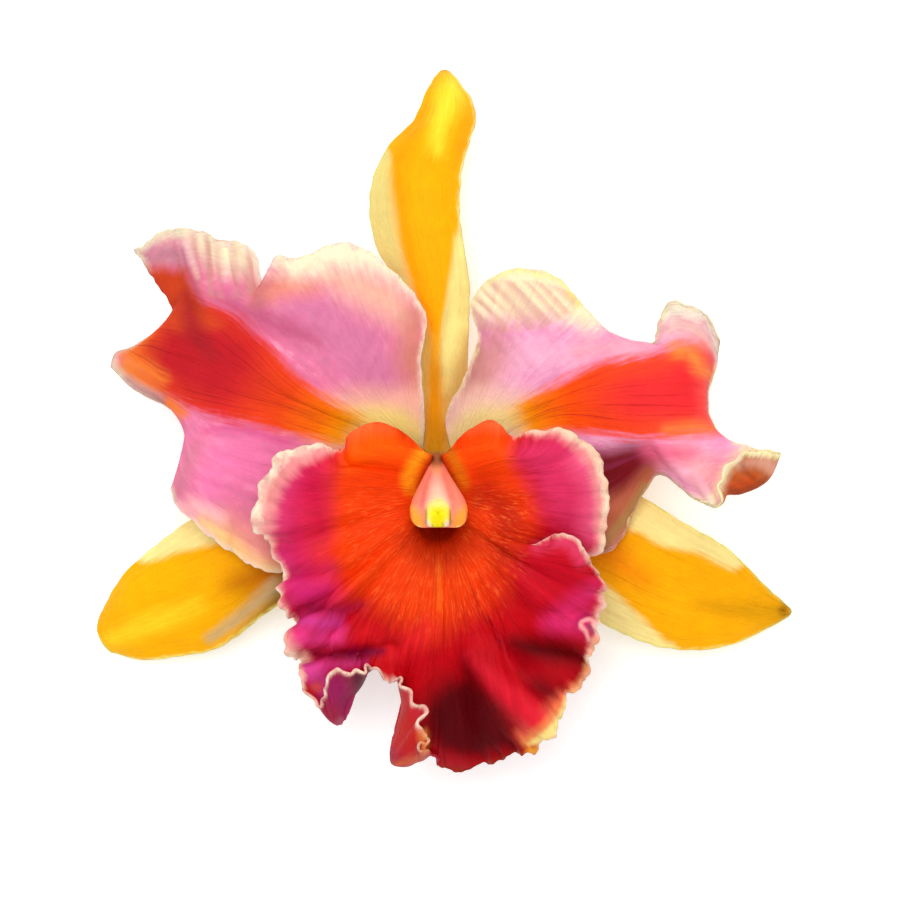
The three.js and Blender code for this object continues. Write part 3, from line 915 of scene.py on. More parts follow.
# ------------------------------------------------------------------ sepals
DORSAL_ROWS = [
    [[-2.7, -1.5, 17.6], [-1.4, -1.5, 18], [-0.1, -1.5, 18.2], [1.2, -1.5, 18], [2.4, -1.5, 17.6]],
    [[-3.4, 10, 15.4], [-1.9, 10, 15.2], [-0.2, 10, 15], [2.4, 10, 15.3], [5.6, 10, 15.6]],
    [[-4.6, 21, 16.2], [-2.4, 21, 16.8], [-0.6, 21, 17], [2.6, 21, 17.2], [6.2, 21, 16.4]],
    [[-7, 32, 15.6], [-3.6, 32, 17.8], [-0.4, 32, 18.4], [3, 32, 18.2], [6.4, 32, 16.8]],
    [[-11.6, 40, 14.4], [-6.4, 40, 17.4], [-2, 40, 18.6], [2, 40, 18.4], [5.4, 40, 16.8]],
    [[-13.4, 48, 13.2], [-8.2, 48, 16.8], [-3.4, 48, 18.2], [0.8, 48, 17.8], [4.4, 48, 16]],
    [[-12.6, 55, 12.8], [-8, 55, 15.6], [-3.2, 55, 16.8], [1.2, 55, 16.2], [4.8, 55, 14]],
    [[-9.4, 61, 11.6], [-5.8, 61, 13.8], [-1.2, 61, 14.8], [3, 61, 13.8], [6.2, 61, 11.4]],
    [[-4.8, 66, 9.8], [-2, 66, 11.4], [1, 66, 12], [4.6, 66, 10.8], [7.6, 66, 8.4]],
    [[-2.6, 70.6, 7.2], [-0.4, 70.8, 8.2], [1.8, 71, 8.6], [4.4, 70.8, 7.6], [6.9, 70.4, 5.9]],
    [[-0.9, 74, 4.4], [0.2, 74.2, 5], [1.5, 74.4, 5.2], [3, 74.2, 4.6], [4.6, 73.8, 3.6]],
    [[0.6, 76.2, 1.6], [1, 76.4, 1.8], [1.4, 76.5, 1.9], [1.8, 76.4, 1.8], [2.2, 76.2, 1.6]],
]
LEFT_SEPAL_ROWS = [
    [[-3.4, -3.4, 14.2], [-3.5, -4.2, 14.1], [-3.6, -5, 14], [-3.3, -5.8, 14.1], [-2.9, -6.4, 14.2]],
    [[-14, -3.6, 13.8], [-13.6, -6.6, 14.3], [-13, -9.5, 14.5], [-11.6, -12, 14.3], [-10, -14.5, 13.6]],
    [[-28, -4.6, 13.4], [-27.4, -9.8, 14.8], [-26, -15, 15.2], [-23.6, -20, 14.6], [-21, -24.6, 12.6]],
    [[-41, -9.6, 12.4], [-40.4, -15.6, 14], [-39, -21.5, 14.4], [-36.2, -27, 13.2], [-33, -31.8, 10]],
    [[-51, -15.2, 10.2], [-50.8, -21.2, 12], [-50, -27, 12.4], [-47.6, -33.4, 10.8], [-44, -39.6, 7.4]],
    [[-60, -22.2, 7], [-60, -27, 8.4], [-59, -31.5, 8.8], [-57, -36.8, 7.8], [-54, -41.7, 5.4]],
    [[-65, -28.2, 3.8], [-64.8, -30.8, 4.8], [-64, -34.2, 5.2], [-62.4, -38.4, 4.8], [-60.4, -42, 3.6]],
    [[-67.4, -32.8, 1.2], [-68.1, -34.6, 1.6], [-68.3, -36.6, 1.8], [-67.5, -38.8, 1.6], [-65.6, -40.6, 1.2]],
]
RIGHT_SEPAL_ROWS = [
    [[3.4, -3.4, 14.2], [3.5, -4.2, 14.1], [3.6, -5, 14], [3.3, -5.8, 14.1], [2.9, -6.4, 14.2]],
    [[13, -2.8, 13.8], [12.8, -6, 14.3], [12.5, -9.2, 14.5], [11.4, -12, 14.3], [10, -15, 13.6]],
    [[26, -3.6, 13.4], [25.8, -9.2, 14.8], [25, -15, 15.2], [23.2, -20.4, 14.6], [21, -25.6, 12.8]],
    [[38, -7.8, 12.6], [37.8, -14.4, 14], [37, -21, 14.2], [34.8, -27.8, 13.4], [32, -34, 11]],
    [[49, -14.4, 11.2], [48.6, -20.2, 12.2], [47.5, -26, 12], [45.8, -32.8, 11.4], [43.5, -39.1, 9]],
    [[58, -19.6, 8.6], [57.8, -24.4, 9.2], [57, -29, 8.6], [55.8, -35, 8.6], [54, -40.1, 7]],
    [[65, -26.4, 5.2], [64.9, -28.8, 5.2], [64.5, -31.2, 4.6], [63.9, -34.6, 4.8], [63, -37.6, 4.2]],
    [[71, -31.8, 0.9], [71.2, -32.2, 0.8], [71.3, -32.6, 0.8], [71.1, -33, 0.8], [70.8, -33.4, 0.9]],
]

DORSAL_SKIN = Tissue(
    ground="#e2d17c",
    back="#d8cf5e",
    hem="#f2ec9c",
    vein="#e09400",
    patches=(
        Patch("#f9ac00", (
            (-1.6, 0), (-1.6, 14), (-1.4, 24), (-3.4, 30), (-4.6, 34), (-5.8, 38), (-6.8, 42), (-7.4, 46), (-8, 50),
            (-8.4, 54), (-9, 59), (-11, 63), (-8, 72), (2, 80), (9, 76), (9, 60), (7, 52), (4.4, 46), (3.6, 42),
            (3, 38), (2.4, 34), (1.8, 30), (0.8, 24), (0.6, 14), (0.6, 0),
        ), 0.7, 1, 0.5),
        Patch("#f6ec90", ((1.6, 12, 1), (4, 22, 2.2), (4.6, 32, 2), (4.4, 36, 1.2), (4.4, 42, 0.8)), 1.4),
        Patch("#ff9a00", (
            (-1, 24, 1), (-4.6, 36, 1.2), (-6.6, 46, 1.4), (-7.4, 56, 1.8), (-4.6, 64, 1.6), (-1, 68, 1.2),
        ), 1.6, 0.75),
        Patch("#ffa000", ((6, 66, 1.4), (4.6, 60, 1.6)), 1.8, 0.7),
        # A bright yellow strip down the ridge towards the tip: a painted highlight.
        Patch("#fff03c", ((3, 74, 1.2), (2.4, 70.4, 2), (0.4, 65, 1.2), (0, 60, 0.4)), 2.8, 0.8),
        Patch("#dc9e34", ((-1.4, 22, 1.4), (-1, 14, 1.6)), 1.8, 0.7),
        Patch("#cfa258", ((6.2, 22, 0.9), (4.8, 16, 1.8), (3.2, 10, 2)), 2.6, 0.8),
        Patch("#de8e04", ((-0.4, -1, 2.8), (-0.3, 8, 2.4), (-0.2, 16, 0.8)), 2, 0.9),
        Patch("#c07c08", ((-0.2, -1, 3), (-0.2, 3, 2.4)), 3, 0.8),
        # A grey-brown line across the foot, where it goes down behind the column: painted shade.
        Patch("#8c7448", ((-3, -1.2, 0.5), (2.6, -1.2, 0.5)), 0.7, 0.8),
    ),
    vein_strength=0.1,
    vein_period=1.5,
    hem_soft=0.8,
    relief=0.05,
)
LATERAL_VEIN = "#d98500"
LEFT_SEPAL_SKIN = Tissue(
    ground="#fdb200",
    back="#cfc24e",
    hem="#f6e87a",
    vein=LATERAL_VEIN,
    patches=(
        Patch("#fbe692", (
            (-62, -20), (-59.4, -22.6), (-55.4, -22), (-51.4, -20.6), (-47.4, -19.6), (-43, -18.2), (-34, -12),
            (-30, 0), (-60, -10),
        ), 1),
        Patch("#ffe02a", ((-65.4, -38, 0.8), (-59.4, -35.4, 1.4), (-54.4, -33.6, 1.4), (-48, -31, 0.6)), 2.8, 0.75),
        Patch("#b45000", ((-30, -24, 4), (-38, -26, 2.4), (-42, -27, 0.6)), 4, 0.75),
        # The lower flank near the lip: its own cream colour, darkened by painted shade.
        Patch("#c8b488", ((-45.6, -37.6, 0.9), (-39.4, -33, 1.3), (-32.4, -27, 1.6)), 1.3, 0.75),
        # A dark olive stroke where the lower margin rolls away: painted shade.
        Patch("#6e5a20", ((-40, -37.6, 0.5), (-36, -34.4, 1), (-31.4, -29, 1.4), (-28, -22, 1.6)), 1.8, 0.8),
    ),
    vein_strength=0.12,
    vein_period=1.6,
    hem_soft=0.8,
    relief=0.05,
)
RIGHT_SEPAL_SKIN = Tissue(
    ground="#fcae00",
    back="#cfc24e",
    hem="#f6e87a",
    vein=LATERAL_VEIN,
    patches=(
        Patch("#fbe692", (
            (30, -6), (37.6, -15.4), (40.6, -16.6), (44.6, -19), (48.6, -20), (52.6, -21), (56.6, -23), (60.6, -23.8),
            (64, -18), (48, -4),
        ), 1),
        Patch("#fbe692", (
            (30, -26), (34, -27.4), (36.6, -29.4), (39.6, -32), (42.6, -35), (45.6, -38), (47.8, -39.4), (44, -44),
            (28, -38),
        ), 1),
        Patch("#f28200", ((31, -16, 5), (36, -22, 3), (42, -26, 1)), 4, 0.8),
        # A soft olive band along the groove towards the tip: painted shade.
        Patch("#c98a04", ((53, -30.8, 0.8), (61, -32.2, 1.9), (69, -32.8, 1.2)), 2.4, 0.65),
        Patch("#7a4a08", ((69.5, -32.2, 0.8),), 1.2, 0.8),
    ),
    vein_strength=0.1,
    vein_period=1.6,
    hem_soft=0.6,
)


# ------------------------------------------------------------------ petals
LEFT_PETAL_ROWS = [
    [[-2.9, -0.6, 17.6], [-3.4, -1.5, 17.5], [-3.6, -2.4, 17.4], [-3.8, -3.3, 17.4], [-3.8, -4.3, 17.5]],
    [[-2.5, 7, 20.4], [-7, 3.4, 18.9], [-9, 1.2, 18.5], [-10, -1.6, 18.4], [-9.2, -9, 17.6]],
    [[-3.2, 18, 22.6], [-14.6, 6.8, 20.8], [-16.5, 4.6, 20.2], [-18, 0.2, 20], [-17, -17, 18.2]],
    [[-2.4, 27.6, 23.8], [-21.4, 10.4, 22.6], [-23.5, 7.5, 21.8], [-25.5, 2, 21.4], [-26, -23, 18.8]],
    [[-9.4, 36.4, 25.4], [-27.6, 15, 24], [-31, 10.5, 23], [-33.5, 4.2, 22.8], [-34.5, -24.2, 19.6]],
    [[-18.5, 41.6, 26.6], [-33, 21, 25], [-37, 13, 23.8], [-40, 5.4, 23.4], [-42, -20, 20.2]],
    [[-28, 38.4, 25], [-36, 23.6, 25], [-41, 15, 24], [-44, 6.4, 23.4], [-49.4, -14, 21.4]],
    [[-32.2, 38.9, 26.8], [-37.6, 25.2, 25.2], [-43.5, 16.2, 24], [-46.4, 7, 23.2], [-53, -9.8, 22.6]],
    [[-34.7, 33.4, 25.8], [-40.4, 27.4, 25], [-45.6, 17.4, 23.8], [-48.4, 7.8, 23], [-52, -5.4, 22.4]],
    [[-37, 40.2, 27.2], [-43.2, 28.8, 25], [-48.4, 18.6, 23.4], [-50.4, 8.8, 22.6], [-50, -0.6, 21.2]],
    [[-43.2, 42, 27.8], [-46.4, 30.2, 24.4], [-51, 19.6, 22.6], [-52.6, 10.2, 22], [-49.8, 3, 20.6]],
    [[-49.5, 44.4, 29.6], [-49.4, 31.6, 24.6], [-53.6, 20.4, 21.4], [-55.4, 11.8, 21], [-52, 7.2, 20]],
    [[-55.2, 43.4, 28.2], [-51.6, 31.2, 23], [-57, 21.4, 20], [-60.6, 16, 19.4], [-60.8, 12.2, 18.6]],
    [[-60.6, 40.2, 25], [-53.2, 27.4, 19.4], [-60.4, 21, 17.6], [-64.4, 19.6, 17.2], [-65.5, 16.6, 17.2]],
]
# The last two columns are the lower margin's bend and its edge, which turns back at the tip.
RIGHT_PETAL_ROWS = [
    [[2.9, -0.6, 17.6], [3.4, -1.5, 17.5], [3.6, -2.4, 17.4], [3.8, -3.3, 17.4], [3.8, -4.1, 17.5], [3.8, -4.4, 17.5]],
    [[1.8, 7, 20.4], [8, 3.6, 18.9], [9, 1.8, 18.5], [10, -1, 18.4], [9, -8, 17.7], [8.8, -9.4, 17.6]],
    [[5.4, 14.4, 22.2], [13.5, 7.8, 20.8], [15, 5, 20.4], [16, 1.8, 20], [15.6, -13, 18.4], [15.5, -15, 18]],
    [[8.2, 22.8, 24], [18.5, 10.8, 22.2], [20, 7.4, 21.6], [21.5, 3.2, 21.2], [22.9, -16.6, 18.4], [23, -18.6, 18]],
    [[6.8, 29.4, 27], [23, 13.2, 23.4], [24.5, 9, 22.8], [26, 3.6, 22.2], [29.8, -18.6, 18.2], [30, -20.4, 17.8]],
    [[11.5, 35, 28.6], [27.5, 15.6, 24.6], [29, 10, 24.2], [30.5, 3.4, 23], [34.7, -17.6, 18.2], [35, -19.2, 17.6]],
    [[19, 36.2, 27], [31.5, 17.2, 25.6], [33, 10.4, 25.4], [34.5, 3, 24], [38.2, -12.8, 17.8], [38.4, -14.4, 17]],
    [[26.2, 33, 25], [35.5, 18.2, 26.2], [37, 10.6, 26.4], [38.5, 2.6, 25.2], [40.8, -7.6, 19.6], [41, -8.8, 18.4]],
    [[30.2, 26, 24.2], [39, 18.8, 26.4], [40.5, 10.6, 27.2], [42, 2.4, 26.6], [44.4, -3.8, 23], [44.6, -4.8, 22]],
    [[36, 22.9, 24.8], [42.4, 19.4, 26.4], [43.5, 10.6, 27.4], [45, 2.4, 27.4], [48.3, -6.4, 25.9], [48.8, -7.5, 25.6]],
    [
        [41.8, 20.8, 25.6], [45.4, 20.2, 26.6], [46.5, 10.6, 27.2],
        [48, 2.4, 27.6], [51.3, -8.6, 27.8], [52.2, -10.1, 27.8],
    ],
    [[44.5, 25, 28.4], [48, 21.4, 26.8], [49, 10.6, 26.4], [50.6, 2.6, 27.2], [54.8, -9.4, 28], [56, -11.8, 28.4]],
    [[46, 29.2, 29.4], [49.6, 21.6, 26.4], [50.1, 10.6, 25.7], [51.8, 2.7, 26.6], [57.6, -8, 24.6], [56.2, -7.4, 29.4]],
    [[49.8, 29.3, 29.6], [51, 21.6, 26], [51.2, 10.6, 25], [53.4, 2.8, 25.8], [60.9, -8.1, 21.4], [57.2, -5.2, 29.2]],
    [[53.9, 26.9, 27.6], [54, 20.4, 24], [53.2, 10.4, 22.6], [56.4, 2.9, 24.4], [65.8, -5.8, 19.4], [58.8, -2.6, 28.6]],
    [[56.7, 22, 24.2], [56, 17.2, 21.2], [54.2, 9.8, 19.6], [58.2, 2.2, 22.2], [68.8, -0.6, 21.4], [61.2, -0.4, 27.6]],
]

LEFT_PETAL_SKIN = Tissue(
    ground="#e8799f",
    back="#d99aa0",
    hem="#fbf0cc",
    hem_tint="#f4d4c4",
    vein="#c4588c",
    patches=(
        Patch("#d4789e", ((-10, 14, 6), (-20, 24, 6), (-30, 30, 3)), 5, 0.85),
        # A darker mauve band below the upper lobe's fold: painted shade.
        Patch("#b84c70", (
            (-24, 21.8, 0.8), (-29, 24, 1.8), (-34, 25.8, 2.3), (-39, 28.2, 1.7), (-44, 30.4, 1),
        ), 3, 0.8),
        Patch("#f2b89c", ((-22, 35, 2), (-16, 33, 3.4), (-10, 30, 3.6), (-6, 26, 2)), 4, 0.9, 1.2),
        Patch("#e48a76", ((-35.6, 31.6, 2.2), (-30, 32.8, 2.4), (-25, 32.6, 1.2)), 2.6, 0.9),
        Patch("#d47e6e", ((-4.4, 27, 1.8), (-5, 19, 3.2), (-3.6, 11, 2)), 3.6, 0.95),
        Patch("#fbf0c8", (
            (-3, 32), (-8, 33.6), (-14, 36.4), (-22, 36.2), (-28, 34.6), (-33, 37), (-35, 36), (-40, 35.4),
            (-46, 37.8), (-52, 43), (-62, 41), (-60, 50), (0, 50), (4, 33),
        ), 3.4, 1, 1.4),
        # Darker stripes in the valleys of the flap's pleats: painted shade.
        Patch("#d08c84", (
            (-50, 45), (-49, 36), (-46, 31), (-38, 31), (-35.4, 34), (-36, 45),
        ), 0.9, 0.75, 0.6, stripes=(2.7, 4)),
        Patch("#cc8e98", ((-59, 39, 1.4), (-55, 39, 2.4), (-51.8, 39.2, 1.9), (-50.2, 37, 0.8)), 2.2, 0.85, 1.2),
        Patch("#dccbb0", ((-59, 42.6, 0.6), (-52, 44, 1.2)), 1.4, 0.7),
        # Brownish at the notch: painted shade.
        Patch("#b8606a", ((-34.6, 33, 0.4), (-36.6, 29, 1)), 1.6, 0.7),
        Patch("#fdbea0", ((-24, 9), (-18, 11.5), (-10, 12), (-3, 11), (-1, 4), (-4, -4), (-24, 0)), 3.4, 0.9),
        Patch("#ffe082", ((-19, 6, 1.6), (-12, 6.2, 2.6), (-7, 4.6, 3), (-3.6, 1, 2.4)), 2.2, 1, 0.4),
        Patch("#f87eb2", ((-28, -4, 5), (-40, -2, 5), (-46, -6, 4)), 5, 0.8),
        Patch("#dc3f86", ((-30, 1.6, 0.8), (-38, 4, 0.8), (-46, 4.4, 0.6)), 1.6, 0.6),
        Patch("#c47a84", ((-51, -4, 1.4), (-52.4, -9, 1.6), (-48.6, 0, 1)), 2.6, 0.6),
        Patch("#f29c86", ((-42, -15, 2.6), (-34, -20, 3.6), (-26, -21, 3)), 4, 0.8),
        Patch("#fcc4bc", ((-49, -11, 1.4), (-44, -13.6, 1.4)), 2.4, 0.8),
        Patch("#fbca80", ((-30, -25, 1.2), (-37, -22.8, 1.9), (-42, -18.4, 2), (-47, -14.4, 1.2)), 1.8, 0.9),
        Patch("#ef7a2c", ((-62, 15.4, 2.4), (-56, 11.4, 2.4), (-51, 7.6, 1.2)), 1.6, 0.95),
    ),
    rim=(
        Patch("#d04420", (
            (-59.5, 36), (-56, 36.8), (-53, 36.4), (-49.6, 36.4), (-47.8, 31.8), (-45.6, 27.6), (-43, 25), (-49, 24),
            (-53, 24.4), (-58, 31),
        ), 1.9, 1, 1),
        Patch("#a41c24", ((-50, 31, 0.8), (-49.4, 27, 1.9), (-48, 23, 2), (-45, 19, 1.2)), 2.2, 0.85),
        Patch("#a84a6c", (
            (-50.7, 40.4, 0.1), (-49.6, 36.4, 0.2), (-47.7, 31.6, 0.2), (-46.4, 29, 0.1),
        ), 0.7, 0.65, 0.1),
        Patch("#fbdcd0", ((-50, 41.2, 0.3), (-48.9, 37.6, 0.3), (-48, 34.6, 0.1)), 0.8, 0.65, 0.1),
        Patch("#f58c34", ((-62, 17.6, 1.2), (-59, 16.6, 1.2), (-55, 14, 0.6)), 2.6, 0.8, 1.6),
        Patch("#f8dcc4", ((-65, 18.2, 0.6), (-64.6, 15.8, 1.2), (-61.8, 13.2, 1.2), (-56, 10.4, 0.7)), 1.3, 0.9, 0.6),
        Patch("#b87484", ((-62, 14.4, 0.4), (-59.4, 12.4, 0.7), (-55, 10.4, 0.9)), 1, 0.75),
    ),
    vein_strength=0.11,
    mottle=0.13,
    streaks=0.14,
    marble=("#f6a8c0", "#d0789a"),
    relief=0.04,
    hem_soft=1.3,
    hem_ragged=1.3,
    flame=(
        (0, "#ffd040"), (0.14, "#ffac14"), (0.185, "#ff9604"), (0.22, "#ff7404"), (0.3, "#ec4614"), (0.44, "#d82a22"),
        (0.84, "#d2341e"), (0.92, "#dc4a1e"), (0.98, "#ea7028"), (1, "#f08a38"),
    ),
    flame_core="#b81226",
    flame_veins="#9c1020",
)
RIGHT_PETAL_SKIN = Tissue(
    ground="#f29cc2",
    back="#c86a34",
    hem="#f8eca0",
    hem_tint="#f8dcbc",
    vein="#d0609c",
    patches=(
        Patch("#fbe6bc", (
            (5, 38), (6.5, 27), (14, 26), (20, 26.5), (26, 25.6), (31, 24), (34, 28), (28, 40), (14, 42),
        ), 3, 1, 2.4),
        Patch("#fcb8d0", ((12, 15, 3), (18, 19, 3.6), (26, 19, 2)), 4, 0.75),
        # Darker stripes in the valleys of the upper lobe's pleats: painted shade.
        Patch("#d2968a", (
            (4, 40), (5, 27), (12, 24), (22, 25), (28, 30), (22, 33), (10, 34.6),
        ), 0.7, 0.72, 0.5, stripes=(2.3, 43)),
        Patch("#fbea60", ((9, 35.4, 0.4), (16, 36.4, 0.6), (24, 34.4, 0.5), (28, 29, 0.3)), 1, 0.8),
        # These two strokes of mauve-brown along the curled inner edge are painted shade.
        Patch("#b47868", ((3.5, 6, 0.8), (6.8, 14, 2.3), (8.4, 19, 2), (8, 22, 0.6)), 2.8, 0.9),
        Patch("#d08874", ((8.4, 11, 1.6), (11.6, 18, 2.4), (12, 23, 1.4)), 3.6, 0.7),
        Patch("#fdd0b4", ((0, -2), (2, 8), (8, 12), (15, 12), (24, 8.6), (24, 0)), 3.4, 0.9),
        Patch("#ffe294", ((4, 1, 2.6), (8, 5, 3.2), (14, 6.2, 2.6), (18, 6.6, 1.4)), 2.2, 1, 0.4),
        Patch("#f6a0a8", ((29, 20, 1.6), (36, 20.6, 1.4), (42, 20.6, 1)), 3, 0.8),
        # The lower lobe dips back and down behind the lip, and these four are its painted shade: brown over it, deep
        # maroon in the valley, olive and tan towards the margin.
        Patch("#cc6c4c", ((30, -4), (38, -2), (44, -1), (44, -6), (40, -16), (33, -22), (28, -16)), 3, 0.95),
        Patch("#780616", (
            (27, -1.6), (34, 0.4), (41, 1.4), (44, -1.4), (41, -5), (37, -8.4), (31, -10), (27, -8),
        ), 2.6, 0.97),
        Patch("#b4602e", ((36, -14, 1.6), (39.4, -9.4, 1.2), (42.6, -4.6, 0.8)), 2.2, 0.85),
        Patch("#b08a50", ((33, -19.6, 1), (38, -13, 0.9), (41.5, -7, 0.6)), 1.2, 0.8),
        Patch("#f8aca8", ((49, -1, 2.4), (54, -5, 3)), 4, 0.8),
        Patch("#ea5c80", ((43, 0.2, 1.8), (46.6, -0.6, 2), (50.6, -0.8, 1.2)), 2.4, 0.85),
        Patch("#fbe8d4", ((52, -11, 1), (58, -8, 1.4), (60, -3, 1.6), (61, -0.4, 1.2)), 2.6, 0.85),
        # Two thin lines along a pleat's crease: painted shade.
        Patch("#cc8c88", ((50.6, -5.2, 0.15), (52.6, -8, 0.35), (54.4, -10.6, 0.3)), 0.9, 0.7),
        Patch("#dc98a0", ((52.8, -4.2, 0.15), (54.8, -8.6, 0.3)), 0.8, 0.6),
        Patch("#fbcabc", ((46, 25, 2), (51, 25, 2.4), (54.6, 21, 1.6)), 3, 0.85, 2),
        Patch("#fbf0d8", ((46, 28.6, 2.4), (50, 29, 2.4), (54.6, 26.4, 1.2), (56.6, 19, 0.5)), 1.6, 0.95, 1.6),
        Patch("#f08a8c", ((48, 20.6, 1), (52, 22.4, 0.8), (55, 18, 0.6)), 1.8, 0.6),
    ),
    behind=(
        Patch("#d0480e", ((58, -7.6, 1.6), (62.6, -6.2, 1.8)), 2, 0.95),
        # Dark brown stripes in the folds of the curled tip: painted shade.
        Patch("#8c3810", ((57, -9), (60, -1), (68, -1), (69, -6), (62, -10)), 0.8, 0.45, stripes=(1.9, 64)),
        Patch("#e0a088", ((60.4, -2.8, 0.5), (64, -2.2, 0.9), (66.4, -2.8, 1.5), (67.4, -4.4, 0.8)), 1.4, 0.9, 0.6),
        # These two dark brown lines in the curl's folds are painted shade.
        Patch("#7c2c10", ((58, -8, 0.5), (61.6, -8.2, 0.6), (65.6, -5.6, 0.3)), 1, 0.7),
        Patch("#8c3414", ((60, -1.6, 0.3), (61.6, -4, 0.3), (63.8, -6.4, 0.2)), 0.8, 0.6),
    ),
    rim=(
        Patch("#fb9c40", ((48, 20, 1), (50.6, 19.6, 1), (52.4, 16.4, 0.8), (54.6, 15.4, 0.4)), 2.4, 0.85, 1.2),
        Patch("#fa8040", ((46, 4.2, 0.7), (51, 4.4, 1.1), (54.6, 4, 0.6)), 1.8, 0.85),
        Patch("#fbf0b4", ((61, -0.2, 0.5), (65, -0.2, 0.8), (68.4, -0.4, 0.7)), 0.8, 0.9),
        Patch("#fbeec0", ((54.4, -11.4, 0.7), (56.2, -7.6, 0.7), (57.4, -4.2, 0.7), (59.6, -1.6, 0.6)), 1.4, 0.8, 0.9),
    ),
    vein_strength=0.12,
    mottle=0.13,
    streaks=0.14,
    marble=("#fbb4d4", "#dc88b0"),
    relief=0.04,
    hem_soft=1.1,
    hem_ragged=1.5,
    flame=(
        (0, "#ffd840"), (0.14, "#ffb83c"), (0.18, "#ff9406"), (0.22, "#ff7404"), (0.3, "#fc5008"), (0.4, "#f84818"),
        (0.76, "#f8442c"), (0.86, "#fa4c3c"), (0.93, "#f8544a"), (0.97, "#e05458"), (1, "#d86c6c"),
    ),
    flame_core="#ea2432",
    flame_veins="#b0101c",
)


@dataclass
class Petal(Organ):
    """A broad petal with a flame of colour down its middle between its second and fourth columns."""

    # How wide the fan of veins is, in mm per radian, and over which columns the grid takes over.
    FAN, FANNED = 32.0, (0.3, 1.5)
    # The columns that are the flame's borders, and the rows over which veins start.
    FLAME_COLUMNS, VEINED_ROWS = (1.0, 3.0), (2.0, 5.0)

    def lay(self) -> Grid:
        """Coordinates that follow the flame, and fan out from the foot over the upper lobe."""
        rows = super().lay()
        flat = self.base[..., :2] - self.base[0, :, :2].mean(axis=0)
        turn = np.unwrap(np.arctan2(flat[..., 1], flat[..., 0]), axis=1) * self.FAN
        if turn[:, -1].mean() < turn[:, 0].mean():
            turn = -turn
        border = int(np.argmin(np.abs(self.across - self.FLAME_COLUMNS[0])))
        turn += (rows[:, border, 1] - turn[:, border]).mean()
        fanned = 1.0 - ease(self.across, *self.FANNED)[None, :]
        rows[..., 1] += (turn - rows[..., 1]) * fanned
        return rows

    def masks(self, points: Grid) -> dict[str, Grid]:
        """The organ's masks, and the signed distance from the flame's border."""
        found = super().masks(points)
        upper, lower = (self.reached(column) for column in self.FLAME_COLUMNS)
        found["blaze"] = np.minimum(self.walk - upper, lower - self.walk)
        found["veined"] = found["veined"] * ease(self.along, *self.VEINED_ROWS)[:, None]
        run = (self.along / (len(self.rows) - 1))[:, None]
        found["blaze_run"] = np.broadcast_to(run, self.walk.shape)
        return found


# ------------------------------------------------------------------ lip
# The throat's ellipse and the lip's root, in plan mm, the sector that the column leaves open on each
# side, in radians, and how high the blade arches between the throat and the bend.
THROAT = {"y": -9.6, "rx": 7.4, "rx_back": 1.5, "ry": 10.8, "top": 27.5, "bottom": 33.5}
THROAT_BULGE = (0.74, 0.74, 0.42)
LIP_ROOT = {"y": -3.6, "rx": 2.7, "ry": 2.8, "z": 18.4}
OPEN_SECTOR = 0.62
LAST_VEIN = 41
ARCH = {"shares": (0.33, 0.68), "front": 2.4, "back": 0.4}


@dataclass(frozen=True)
class Vein:
    """One vein of the lip.

    Attributes:
        turn: Its place in the fan, from 0 at the column's left to LAST_VEIN at its right.
        bend: Where the blade turns over.
        end: Its end on the margin.
        frill: How strong the margin's waves are there.
        hem: How wide the margin's colour is there, in mm.
        aim: What it heads for out of the throat, where that isn't the bend.
    """

    turn: float
    bend: Point
    end: Point
    frill: float
    hem: float
    aim: Point = ()


